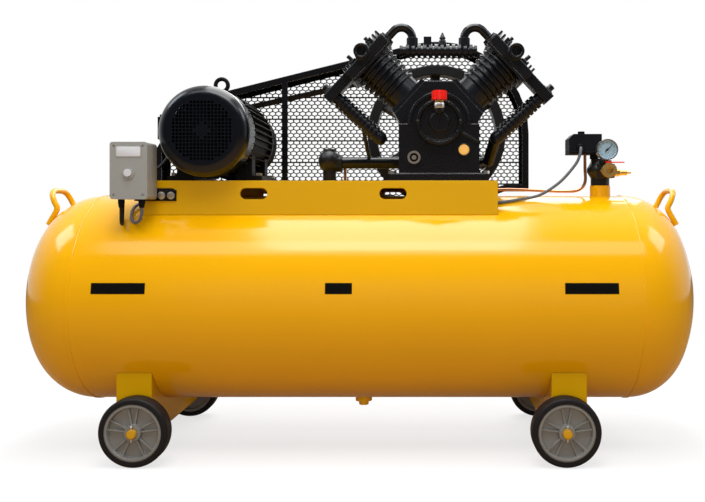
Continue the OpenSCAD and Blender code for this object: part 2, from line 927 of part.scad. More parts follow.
// Horizontal finned tube between the two heads.
module intercooler() {
  half = 111;
  color([0.1, 0.1, 0.11])
    union() {
      translate([pump_x - half, bank_y, cooler_z])
        rotate([0, 90, 0])
          rotate_extrude()
            polygon(concat([[0, 0], [17, 0], [17, 8], [14, 8]], comb(12, 16.5, 9.5, 14, cooler_radius, 18),
              [[14, 2 * half - 8], [17, 2 * half - 8], [17, 2 * half], [0, 2 * half]]));
      for (e = [-1, 1])
        translate([pump_x + e * bend_end()[0], bank_y, cooler_z])
          cylinder(r = bend_tube + 4, h = bend_end()[1] - cooler_height);
      translate([pump_x - 42, bank_y - 11, cooler_z])
        cube([22, 22, cooler_radius + 20]);
      translate([pump_x + 12, bank_y, cooler_z])
        cylinder(r = 12, h = cooler_radius + 1);
    }
}

// Lower end of the left return bend, measured from the crankshaft in X and Z.
function bend_end() =
  let (
    c = cos(bank_angle),
    s = sin(bank_angle),
    across = head_half + 8 + bend_stub + bend_radius * c,
    along = barrel_mid - 2 - bend_radius * (1 + s)
  )
  [c * across - s * along, s * across + c * along];

// Two tubes that leave the heads, turn over and come down on the intercooler.
module return_bends() {
  color([0.1, 0.1, 0.11])
    for (side = [-1, 1])
      bank(side)
        translate([head_half + 8, 0, barrel_mid - 2])
          union() {
            rotate([0, 90, 0])
              cylinder(r = bend_tube, h = bend_stub);
            rotate([0, 90, 0])
              cylinder(r = 22, h = 6);
            translate([bend_stub, 0, -bend_radius])
              rotate([90, 0, 0])
                rotate_extrude(angle = 90 + bank_angle, start = -bank_angle)
                  translate([bend_radius, 0])
                    circle(r = bend_tube);
          }
}

module relief_valve() {
  color([0.14, 0.14, 0.14])
    translate([pump_x + 12, bank_y, cooler_z + cooler_radius + 1]) {
      cylinder(r = 10, h = 10, $fn = 6);
      cylinder(r = 7, h = 20);
      translate([0, 0, 20])
        cylinder(r1 = 7, r2 = 2, h = 12);
      translate([0, 0, 14])
        cylinder(r = 9, h = 4);
    }
}

// Spirally finned discharge tube hanging from the arm of one head.
module finned_tube(side) {
  pitch = 14.5;
  length = barrel_top + 16 - tube_foot;
  count = floor((length - 18) / pitch);
  color([0.1, 0.1, 0.11])
    bank(side)
      translate([-tube_offset, 0, tube_foot])
        union() {
          rotate_extrude()
            polygon(concat([[0, 0], [20, 0], [20, 10], [17, 10]],
              comb(count, pitch, 8, 17, tube_fin_radius, 16), [[17, length], [0, length]]));
          sphere(r = 20);
          translate([0, 0, side > 0 ? 0 : tap_height])
            rotate([-90, 0, 0])
              cylinder(r = side > 0 ? 17 : 10, h = 28);
        }
}

module finned_tube_left() {
  finned_tube(-1);
}

module finned_tube_right() {
  finned_tube(1);
}

// Cross pipe behind the crankcase, fed by a thick elbow on the right and a thin tube on the left.
module discharge_pipe() {
  right = pump_x + branch_x;
  tap_x = pump_x - branch_x - sin(bank_angle) * tap_height;
  tap_z = branch_z + cos(bank_angle) * tap_height;
  color([0.1, 0.1, 0.11])
    union() {
      bar_x(pipe_y, pipe_z, check_x + 40, pump_x + 135, 18);
      bar_y(right, branch_z, bank_y + 28.05, bank_y + 48, 16);
      bent_bar([
        [right, bank_y + 46, branch_z], [right - 17, bank_y + 76, pipe_z + 2], [pump_x + 135, pipe_y, pipe_z]
      ], 17);
      translate([right, bank_y + 46, branch_z])
        sphere(r = 17.4);
      translate([pump_x + 135, pipe_y, pipe_z])
        sphere(r = 19);
      lead([[tap_x, bank_y + 28.3, tap_z], [tap_x, bank_y + 36, tap_z], [tap_x, bank_y + 52, tap_z - 2],
        [tap_x + 5, 60, tap_z - 44],
        [tap_x + 13, pipe_y - 12, pipe_z + 24], [tap_x + 16, pipe_y, pipe_z + 6]], 6, 4, 10);
    }
}

// Non return valve standing on the receiver through a hole in the platform.
module check_valve() {
  color([0.12, 0.12, 0.12])
    translate([check_x, pipe_y, 0])
      union() {
        translate([0, 0, tank_top - 4])
          cylinder(r = 20, h = pipe_z - tank_top + 4);
        translate([0, 0, tank_top - 4])
          cylinder(r = 27, h = 22, $fn = 6);
        translate([0, 0, pipe_z + 6])
          sphere(r = 34);
        translate([0, 0, pipe_z - 2])
          rotate([0, 90, 0])
            cylinder(r = 26, h = 40, $fn = 6);
        translate([0, 0, pipe_z + 20])
          cylinder(r = 20, h = 22, $fn = 6);
      }
}

// Copper line from the non return valve to the unloader under the pressure switch.
module unloader_tube() {
  color([0.72, 0.42, 0.25])
    lead([
      [check_x + 48, pipe_y, pipe_z - 18.05], [check_x + 48, pipe_y, plate_top + 10],
      [check_x + 50, pipe_y, plate_top - 12], [check_x + 74, pipe_y, plate_top - 22],
      [plate_right - 120, pipe_y - 8, plate_top - 22], [plate_right + 60, 62, tank_top + 20],
      [switch_x - 62, 10, tank_top + 14], [switch_x - 14, 2, tank_top + 18],
      [switch_x + 5, 0, tank_top + 40], [switch_x + 5, 0, tank_top + 80], [switch_x + 5, 0, switch_z - 0.1]
    ], 4.5, 4, 10);
}

module oil_neck() {
  color("goldenrod")
    translate([pump_x, filler_y, crank_z + 50])
      union() {
        cylinder(r = 12, h = 8, $fn = 6);
        cylinder(r = 9, h = 14);
      }
}

// Red filler cap that lifts off its neck.
module oil_cap() {
  color("red")
    translate([pump_x, filler_y, crank_z + 50])
      difference() {
        union() {
          translate([0, 0, 8.4])
            cylinder(r = 18.5, h = 25);
          for (k = [0 : 11])
            rotate([0, 0, 30 * k])
              translate([17, -2.4, 9.4])
                cube([3.5, 4.8, 23]);
        }
        translate([0, 0, 7])
          cylinder(r = 9 + control_space, h = 8);
      }
}

module sight_glass() {
  color("orange")
    translate([pump_x + 68, 0, crank_z - 75]) {
      bar_y(0, 0, case_front - 7, case_front, 17);
      bar_y(0, 0, case_front - 9, case_front - 7, 12);
    }
}

// Spoked flywheel pulley whose rim carries the belt grooves.
function grooves(r) = [
  for (i = [0 : belt_count - 1]) each let (y = belt_y + i * belt_pitch) [
    [r, y - groove_half(0)], [r - groove_depth, y - groove_half(groove_depth)],
    [r - groove_depth, y + groove_half(groove_depth)], [r, y + groove_half(0)]
  ]
];
groove_depth = belt_depth + 4;
function groove_half(depth) = belt_half(depth) + belt_space;
function belt_half(depth) = belt_width / 2 - belt_taper * depth;

module flywheel() {
  inner = flywheel_radius - 30;
  color([0.11, 0.11, 0.12])
    union() {
      turn_y(pump_x, crank_z, $fn = 160)
        polygon(concat([[inner, rim_front], [flywheel_radius, rim_front]], grooves(flywheel_radius),
          [[flywheel_radius, rim_rear], [inner, rim_rear]]));
      turn_y(pump_x, crank_z)
        polygon([[journal_radius - 3, rim_front], [46, rim_front],
          [46, rim_rear], [journal_radius - 3, rim_rear]]);
      for (k = [0 : 5])
        rotate_about(60 * k)
          translate([-13, rim_front + 12, 40])
            rotate([0, 0, 16])
              cube([26, 24, inner - 36]);
    }
}

module motor_pulley() {
  color([0.11, 0.11, 0.12])
    difference() {
      turn_y(motor_x, motor_z, $fn = 120)
        polygon(concat([[motor_shaft, rim_front], [pulley_radius, rim_front]], grooves(pulley_radius),
          [[pulley_radius, rim_rear], [motor_shaft, rim_rear]]));
      for (k = [0 : 4])
        translate([motor_x, 0, motor_z])
          rotate([0, 72 * k, 0])
            bar_y(0, 70, rim_front - 1, rim_rear + 1, 24);
    }
}

module rotor() {
  color("silver")
    union() {
      bar_y(motor_x, motor_z, -198, rim_rear + 1, motor_shaft);
      bar_y(motor_x, motor_z, -96, 122, stator_bore - air_gap);
    }
}

module cooling_fan() {
  color([0.15, 0.15, 0.15])
    difference() {
      union() {
        bar_y(motor_x, motor_z, -200, -150, 34);
        bar_y(motor_x, motor_z, -158, -154, 92);
        for (k = [0 : 7])
          translate([motor_x, 0, motor_z])
            rotate([0, 45 * k, 0])
              translate([-2, -196, 30])
                cube([4, 40, 62]);
      }
      bar_y(motor_x, motor_z, -198, -149, motor_shaft);
    }
}

// Endless belts round flywheel and pulley, each a loop of tapered section.
module drive_belts() {
  R = flywheel_radius + belt_proud;
  r = pulley_radius + belt_proud;
  run = norm([pulley_gap, crank_z - motor_z]);
  tilt = atan2(crank_z - motor_z, pulley_gap);
  lean = asin((R - r) / run);
  steps = 30;
  big = [for (i = [0 : steps]) 90 + lean + tilt - i * (180 + 2 * lean) / steps];
  small = [for (i = [0 : steps]) 270 - lean + tilt - i * (180 - 2 * lean) / steps];
  count = 2 * (steps + 1);
  loop = concat(
    [for (a = big) [pump_x, crank_z, R, a]],
    [for (a = small) [motor_x, motor_z, r, a]]
  );
  skin = [
    for (p = loop) for (q = [[0, -1], [0, 1], [belt_depth, 1], [belt_depth, -1]])
      let (r = p[2] - q[0])
      [p[0] + r * cos(p[3]), q[1] * belt_half(q[0] - belt_proud), p[1] + r * sin(p[3])]
  ];
  walls = [
    for (i = [0 : count - 1]) for (k = [0 : 3])
      [i * 4 + k, ((i + 1) % count) * 4 + k, ((i + 1) % count) * 4 + (k + 1) % 4, i * 4 + (k + 1) % 4]
  ];
  color([0.08, 0.08, 0.08])
    for (b = [0 : belt_count - 1])
      translate([0, belt_y + b * belt_pitch, 0])
        polyhedron(skin, walls);
}

// Outline of the belt guard in X and Z, anticlockwise from its lower left corner.
// Its belly hangs behind the platform and clears the flywheel and the lower belt run.
guard_low = plate_top - 22;
guard_belly = crank_z - flywheel_radius - 8;
guard_reach = flywheel_radius + guard_room;
guard_corner = [motor_x - 163, motor_z + 130];
roof_lean = acos(guard_reach / norm(guard_corner - [pump_x, crank_z]));
roof_angle = atan2(guard_corner[1] - crank_z, guard_corner[0] - pump_x) - roof_lean;
guard_left = motor_x - 258;
strap_x = motor_x + 143;
function roof_at(x) = guard_corner[1] + (x - guard_corner[0]) * tan(roof_angle - 90);
function guard_arc(a) = [pump_x + guard_reach * cos(a), crank_z + guard_reach * sin(a)];
belly = [
  [motor_x - 25, guard_low], [pump_x - 64, guard_belly], [pump_x + 91, guard_belly], [pump_x + 218, guard_low]
];
guard_roof = concat(
  [[pump_x + guard_reach, guard_low]],
  [for (i = [0 : 12]) guard_arc(roof_angle * i / 12)],
  [guard_corner, [guard_left, motor_z - 26], [guard_left, guard_low]]
);
guard_outline = concat(belly, guard_roof);
belly_room = concat(belly, [[pump_x + 218, crank_z], [motor_x - 25, crank_z]]);

// Sheet band with a border on each face, one upright strap and two tabs on the platform.
module guard_frame() {
  color([0.1, 0.1, 0.1])
    union() {
      slab(guard_front, guard_depth)
        difference() {
          polygon(guard_outline);
          polygon(inset(guard_outline, guard_sheet));
        }
      for (y = [guard_front, guard_front + guard_depth - guard_sheet])
        slab(y, guard_sheet)
          difference() {
            polygon(guard_outline);
            polygon(inset(guard_outline, guard_border));
          }
      slab(guard_front, guard_sheet)
        translate([strap_x, guard_low - 28])
          square([18, roof_at(strap_x) - guard_low + 26]);
      slab(plate_half, guard_front - plate_half + 1) {
        translate([strap_x, guard_low - 26])
          square([18, 30]);
        translate([pump_x + 84, guard_belly + 16])
          square([40, 16]);
      }
    }
}

// Stamped mesh panel in the back of the guard.
function hex_hole(x, z, r) = [for (a = [0 : 60 : 300]) [x + r * cos(a), z + r * 0.87 * sin(a)]];
function beyond(p, i, q) = edge_normal(p, i) * (q - p[i]);
function room(p, q) = min([for (i = [0 : len(p) - 1]) beyond(p, i, q)]);
module guard_mesh() {
  hole = mesh_pitch / 2 * 1.155 - mesh_strand / 2;
  edge = inset(guard_outline, guard_sheet + 0.02);
  roof = inset(guard_roof, guard_border - 4);
  lower = inset(belly_room, guard_border - 4);
  rows = ceil((crank_z + guard_reach - guard_belly) / (mesh_pitch * 0.8));
  columns = ceil((pump_x + guard_reach - guard_left) / mesh_pitch);
  cells = [
    for (j = [0 : rows]) for (i = [0 : columns])
      let (
        x = guard_left + (i + (j % 2) * 0.5) * mesh_pitch,
        z = guard_belly + 40 + j * mesh_pitch * 0.8
      )
      if (max(room(roof, [x, z]), room(lower, [x, z])) > hole + 1)
        hex_hole(x, z, hole * 0.93)
  ];
  color([0.1, 0.1, 0.1])
    slab(guard_front + guard_depth - guard_sheet - 1.52, 1.5)
      pierced(concat([edge], cells));
}

// Rounded outline of the starter box, drawn in by a distance.
module box_outline(shrink) {
  translate([box_x, box_z + box_height / 2]) {
    square([box_width - 16, box_height - 2 * shrink], center = true);
    square([box_width - 2 * shrink, box_height - 16], center = true);
    for (e = [-1, 1]) for (f = [-1, 1])
      translate([e * (box_width / 2 - 8), f * (box_height / 2 - 8)])
        circle(r = 8 - shrink);
  }
}

// Starter box: a moulded body and lid that meet in a groove, with a seat for the button.
module control_box() {
  color("gray")
    difference() {
      union() {
        slab(box_front, 28)
          box_outline(0);
        slab(box_front + 27, 4)
          box_outline(1.5);
        slab(box_front + 30, box_depth - 30)
          box_outline(0);
        bar_y(box_x, button_z, box_front - 3, box_front + 5, 16);
        translate([box_x - 34, box_front - 0.8, box_z + box_height * 0.73])
          cube([68, 2, 30]);
      }
      bar_y(box_x, button_z, box_front - 4, box_front + 22, 10 + control_space);
      for (e = [-1, 1]) for (f = [-1, 1])
        bar_y(box_x + e * (box_width / 2 - 11), box_z + box_height / 2 + f * (box_height / 2 - 11),
          box_front - 1, box_front + 3, 3.5);
    }
}

module start_button() {
  color("white")
    bar_y(box_x, button_z, box_front - 8, box_front + 14, 10);
}

// Black strap that hangs the starter box on the platform skirt, with its two bolts.
module box_bracket() {
  color([0.1, 0.1, 0.1])
    union() {
      slab(-plate_half - 4.02, 4)
        translate([box_x - 12, plate_top - 56])
          square([109, 30]);
      translate([box_x - 12, box_back + 0.02, plate_top - 56])
        cube([44, -plate_half - 4 - box_back, 30]);
      for (x = [57, 83])
        bar_y(box_x + x, plate_top - 41, -plate_half - 9, -plate_half - 3.5, 8, $fn = 6);
    }
}

module gland(x, y, z) {
  translate([x, y, z - 12])
    cylinder(r = 9, h = 11.95);
  translate([x, y, z - 22])
    cylinder(r = 7.5, h = 12);
}

// Height over the receiver's shell plus a distance, at a place across it.
function over_shell(y, above) = tank_height + sqrt(pow(tank_radius + above, 2) - y * y);
function on_shell(x, y, above) = [x, y, over_shell(y, above)];
function hang(x, y, z) = [x, y, max(z, over_shell(y, 9))];
// Grey lead from the pressure switch, under the platform, to the starter box.
module switch_cable() {
  run = switch_x - plate_right;
  color("silver")
    union() {
      lead([
        [switch_x - 18, -48, switch_z + 20], [switch_x - 19, -62, switch_z + 12],
        [switch_x - 24, -68, switch_z - 8], [switch_x - 37, -68, switch_z - 34],
        on_shell(plate_right + run * 0.695, -75, 47), on_shell(plate_right + run * 0.477, -85, 14),
        on_shell(plate_right + run * 0.259, -100, 6.6), on_shell(plate_right + run * 0.02, -120, 6),
        on_shell(plate_right - 80, -126, 6), on_shell(0, -126, 6),
        on_shell(plate_left + 60, -126, 6), on_shell(plate_left + 18, -127, 7),
        on_shell(plate_left - 8, -133, 9), on_shell(plate_left - 21, -152, 9),
        on_shell(plate_left - 21, -177, 8), on_shell(plate_left - 11, -201, 9),
        hang(box_x + 4, lead_y + 22, box_z - 62), hang(box_x + 20, lead_y + 6, box_z - 54),
        [box_x + 27, lead_y, box_z - 38], [box_x + 27, lead_y, box_z - 20]
      ], 4.2, 4, 10);
      gland(box_x + 27, lead_y, box_z);
      bar_y(switch_x - 18, switch_z + 20, -50, -35.02, 9);
    }
}

// Dark lead from the starter box to the terminal box of the motor.
module motor_cable() {
  x = motor_x - motor_core - 18;
  color([0.1, 0.1, 0.1])
    union() {
      lead([
        [box_x - 27, lead_y, box_z - 20], [box_x - 27, lead_y, box_z - 38],
        hang(box_x - 30, lead_y + 9, box_z - 58),
        hang((box_x + plate_left) / 2 - 35, lead_y + 32, box_z - 65),
        hang(plate_left - 41, lead_y + 53, box_z - 46), [plate_left - 43, lead_y + 62, box_z - 16],
        [plate_left - 44, lead_y + 66, box_z + 9], [plate_left - 32, lead_y + 94, box_z + 44],
        [plate_left - 2, -118, box_z + 69], [x - 29, -92, motor_z - 94], [x - 15, -60, motor_z - 67],
        [x - 15, -35, motor_z - 46], [x - 17, -20, motor_z - 30]
      ], 4.6, 4, 10);
      gland(box_x - 27, lead_y, box_z);
      translate([x - 17, -20, motor_z - 32])
        cylinder(r = 9, h = 15.98);
    }
}

// Cast distribution block screwed on the receiver.
module manifold() {
  color([0.1, 0.1, 0.1])
    union() {
      translate([outlet_x, 0, 0])
        rotate_extrude()
          polygon([[0, tank_top + 30], [27, tank_top + 30], [27, tank_top + 52], [38, tank_top + 70],
            [38, tank_top + 80], [27, tank_top + 100], [26, tank_top + 108], [0, tank_top + 108]]);
      translate([valve_x - 24, -40, outlet_z - 20])
        cube([48, 40, 40]);
      translate([gauge_x - 14, gauge_face + 28, outlet_z + 10])
        cube([28, 30, 12]);
      translate([gauge_x - 14, gauge_face + 14, outlet_z + 20.5])
        cube([28, 44, 9.5]);
      bar_x(safety_y, outlet_z - 3, outlet_x + 18, outlet_x + 41, 14);
    }
}

// Diaphragm pressure switch with a chamfered cover.
module pressure_switch() {
  color([0.1, 0.1, 0.1])
    difference() {
      union() {
        slab(-35, 70)
          polygon([[switch_x - 47, switch_z], [switch_x + 47, switch_z], [switch_x + 47, switch_z + 58],
            [switch_x - 34, switch_z + 58], [switch_x - 47, switch_z + 45]]);
        translate([outlet_x - 17, 0, tank_top + 108])
          cylinder(r = 13, h = switch_z - tank_top - 107, $fn = 6);
        slab(-37, 74)
          translate([switch_x - 44, switch_z + 4])
            square([88, 2]);
      }
      translate([switch_x - 6, 0, switch_z + 36])
        cylinder(r = 7 + control_space, h = 30);
    }
}

module switch_knob() {
  color([0.1, 0.1, 0.1])
    translate([switch_x - 6, 0, 0])
      union() {
        translate([0, 0, switch_z + 40])
          cylinder(r = 7, h = 19);
        translate([0, 0, switch_z + 58.5])
          cylinder(r = 10, h = 9);
      }
}

// Gauge case with its dial and stem, open at the front round the needle.
module gauge_case() {
  color("silver")
    union() {
      turn_y(gauge_x, gauge_z)
        polygon([[0, gauge_face + 6], [gauge_radius - 3, gauge_face + 6], [gauge_radius - 3, gauge_face],
          [gauge_radius, gauge_face], [gauge_radius, gauge_face + 26], [0, gauge_face + 26]]);
      translate([gauge_x, gauge_face + 22, outlet_z + 30])
        cylinder(r = 8, h = gauge_z - outlet_z - 56, $fn = 6);
    }
}

module gauge_needle() {
  color("black")
    translate([gauge_x, 0, gauge_z])
      union() {
        bar_y(0, 0, gauge_face + 2.4, gauge_face + 5.6, 3);
        rotate([0, 45, 0])
          slab(gauge_face + 3, 1.2)
            polygon([[-1.6, -8], [1.6, -8], [0.4, gauge_radius - 9], [-0.4, gauge_radius - 9]]);
      }
}

// Brass ball valve facing the operator, with the threaded air outlet.
module outlet_valve() {
  color("goldenrod")
    difference() {
      union() {
        bar_y(valve_x, outlet_z, -86, -68, 20);
        bar_y(valve_x, outlet_z, -70, -40.02, 15);
        bar_y(valve_x, outlet_z, -52, -41, 19, $fn = 6);
        translate([valve_x, -60, outlet_z])
          cylinder(r = 6, h = lever_z - outlet_z - control_space);
      }
      bar_y(valve_x, outlet_z, -87, outlet_depth - 86, outlet_bore);
    }
}

// Red lever on the ball valve, across the flow when closed.
module outlet_lever() {
  color("red")
    translate([valve_x, -60, lever_z])
      union() {
        cylinder(r = 7, h = 4);
        translate([0, -5, 0])
          cube([46, 10, 3]);
      }
}

module safety_valve() {
  color("goldenrod")
    union() {
      bar_x(safety_y, outlet_z - 3, outlet_x + 41, outlet_x + 60, 11, $fn = 6);
      bar_x(safety_y, outlet_z - 3, outlet_x + 59, outlet_x + 82, 8);
      bar_x(safety_y, outlet_z - 3, outlet_x + 81, outlet_x + 94, 3.5);
    }
}

tank_shell();
tank_head_left();
tank_head_right();
lifting_handles();
leg_left();
leg_right();
axles();
split_pins();
base_plate();
motor_housing();
fan_cowl();
terminal_box();
foot_bolts();
crankcase();
bearing_cover();
main_bearings();
cylinder_left();
cylinder_right();
head_left();
head_right();
intercooler();
return_bends();
relief_valve();
finned_tube_left();
finned_tube_right();
discharge_pipe();
check_valve();
unloader_tube();
oil_neck();
sight_glass();
drive_belts();
guard_frame();
guard_mesh();
control_box();
box_bracket();
switch_cable();
motor_cable();
manifold();
pressure_switch();
gauge_case();
outlet_valve();
safety_valve();
hub_front_left();
hub_front_right();
hub_rear_left();
hub_rear_right();
tyre_front_left();
tyre_front_right();
tyre_rear_left();
tyre_rear_right();
crankshaft();
flywheel();
rotor();
motor_pulley();
cooling_fan();
gauge_needle();
outlet_lever();
switch_knob();
start_button();
oil_cap();
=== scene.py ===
"""Looks of the belt driven piston air compressor: finishes, leads, belts, net, welds, dial and light.

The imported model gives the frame. This script dresses its nodes and adds the pieces that are soft, woven or
too fine for it. Lengths are in metres, X along the receiver, -Y towards the operator, +Z up.
"""

from __future__ import annotations

import json
import logging
import math
from dataclasses import dataclass
from enum import Enum
from typing import Sequence

import bmesh
import bpy
import numpy as np
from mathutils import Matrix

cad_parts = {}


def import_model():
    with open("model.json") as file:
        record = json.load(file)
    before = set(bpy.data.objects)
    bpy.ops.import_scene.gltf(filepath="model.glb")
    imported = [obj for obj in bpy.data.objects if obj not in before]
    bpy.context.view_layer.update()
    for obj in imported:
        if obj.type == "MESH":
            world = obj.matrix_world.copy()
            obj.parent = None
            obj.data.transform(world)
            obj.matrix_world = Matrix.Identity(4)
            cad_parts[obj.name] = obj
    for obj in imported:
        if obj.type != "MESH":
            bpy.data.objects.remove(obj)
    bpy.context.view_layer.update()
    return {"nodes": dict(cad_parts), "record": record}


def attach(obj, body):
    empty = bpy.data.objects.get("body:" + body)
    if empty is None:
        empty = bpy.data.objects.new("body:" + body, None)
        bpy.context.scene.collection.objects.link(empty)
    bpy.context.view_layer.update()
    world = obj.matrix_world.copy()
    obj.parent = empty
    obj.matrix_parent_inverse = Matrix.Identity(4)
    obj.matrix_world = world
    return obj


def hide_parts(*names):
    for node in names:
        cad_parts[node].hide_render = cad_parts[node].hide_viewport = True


log = logging.getLogger("compressor")
Point = tuple[float, float, float]
Colour = tuple[float, float, float]
Piece = bpy.types.Object
Socket = bpy.types.NodeSocket
Group = bpy.types.NodeTree
Array = np.ndarray
MM = 0.001
STATIC_BODY = "receiver"
TANK_RADIUS = 291.0
TANK_HEIGHT = 417.0
FRONT = (0, -1, 0)


class Slot(str, Enum):
    """Material slots of the record, then looks that some of its nodes show instead."""

    YELLOW = "yellow_paint"
    BLACK = "black_paint"
    CAST = "cast_black"
    FIN = "fin_black"
    WHEEL = "wheel_black"
    MESH = "mesh_black"
    STEEL = "bright_steel"
    ZINC = "zinc_steel"
    FITTING = "dark_fitting"
    COPPER = "copper"
    BRASS = "brass"
    LENS = "sight_lens"
    BELT = "belt_rubber"
    BOX = "box_plastic"
    GREY_LEAD = "lead_grey"
    BLACK_LEAD = "lead_black"
    SWITCH = "switch_plastic"
    CHROME = "gauge_chrome"
    HUB = "hub_plastic"
    TYRE = "tyre_rubber"
    NEEDLE = "needle_black"
    RED = "red_plastic"
    BUTTON = "button_white"
    SHAFT = "shaft_dark"
    DIAL = "dial_blue"
    SHADED_SHEET = "shaded_sheet_yellow"
    RIBS = "rib_black"
    COWL = "cowl_black"
    SHADED_AXLE = "shaded_axle_yellow"


class Effect(str, Enum):
    """Shader effects that several finishes share."""

    DRIFT = "tone_drift"
    # Rubbed edges, and painted shade on the axle ends.
    WEAR = "edge_wear_and_shade"
    DUST = "settled_dust"
    GRAIN = "skin_grain"
    BRUSH = "tool_lines"


# Shader effects


class Tree:
    """A node tree with short calls for adding and joining nodes."""

    def __init__(self, tree: Group) -> None:
        """Keeps the tree that the calls work on."""
        self.tree = tree

    def add(self, kind: str, **values: object) -> bpy.types.Node:
        """Adds a node and sets its properties or sockets.

        Args:
            kind: Node type without its ShaderNode prefix.
            values: Property names, or socket names with underscores for spaces.

        Returns:
            The new node.
        """
        node = self.tree.nodes.new("ShaderNode" + kind)
        for key, value in values.items():
            if hasattr(node, key) and key != "color":
                setattr(node, key, value)
            else:
                node.inputs[key.replace("_", " ")].default_value = value
        return node

    def join(self, source: Socket, target: Socket) -> None:
        """Links an output socket to an input socket."""
        self.tree.links.new(source, target)

    def math(self, operation: str, first: object, second: object = 0.0) -> Socket:
        """Adds a Math node.

        Args:
            operation: Name of the operation.
            first: A socket or a number.
            second: A socket or a number.

        Returns:
            The node's output socket.
        """
        node = self.add("Math", operation=operation)
        for place, value in zip(node.inputs, (first, second)):
            if isinstance(value, Socket):
                self.join(value, place)
            else:
                place.default_value = value
        return node.outputs[0]

    def plus(self, base: object, value: Socket, share: float) -> Socket:
        """Returns the socket of base + value * share."""
        return self.math("ADD", base, self.math("MULTIPLY", value, share))

    def noise(self, scale: Socket, detail: float, vector: Socket | None = None) -> Socket:
        """Adds a Noise texture.

        Args:
            scale: Socket that gives its scale.
            detail: Its detail.
            vector: Socket that gives its place, or none for object coordinates.

        Returns:
            The node's value socket.
        """
        node = self.add("TexNoise", Detail=detail)
        place = self.add("TexCoord").outputs["Object"] if vector is None else vector
        self.join(place, node.inputs["Vector"])
        self.join(scale, node.inputs["Scale"])
        return node.outputs["Fac"]

    def spread(self, value: Socket, low: float, high: float) -> Socket:
        """Maps low..high to 0..1 with soft ends.

        Args:
            value: Socket that gives the value.
            low: Value that becomes 0.
            high: Value that becomes 1.

        Returns:
            The mapped socket.
        """
        node = self.add("MapRange", interpolation_type="SMOOTHSTEP")
        node.inputs["From Min"].default_value = low
        node.inputs["From Max"].default_value = high
        self.join(value, node.inputs["Value"])
        return node.outputs["Result"]


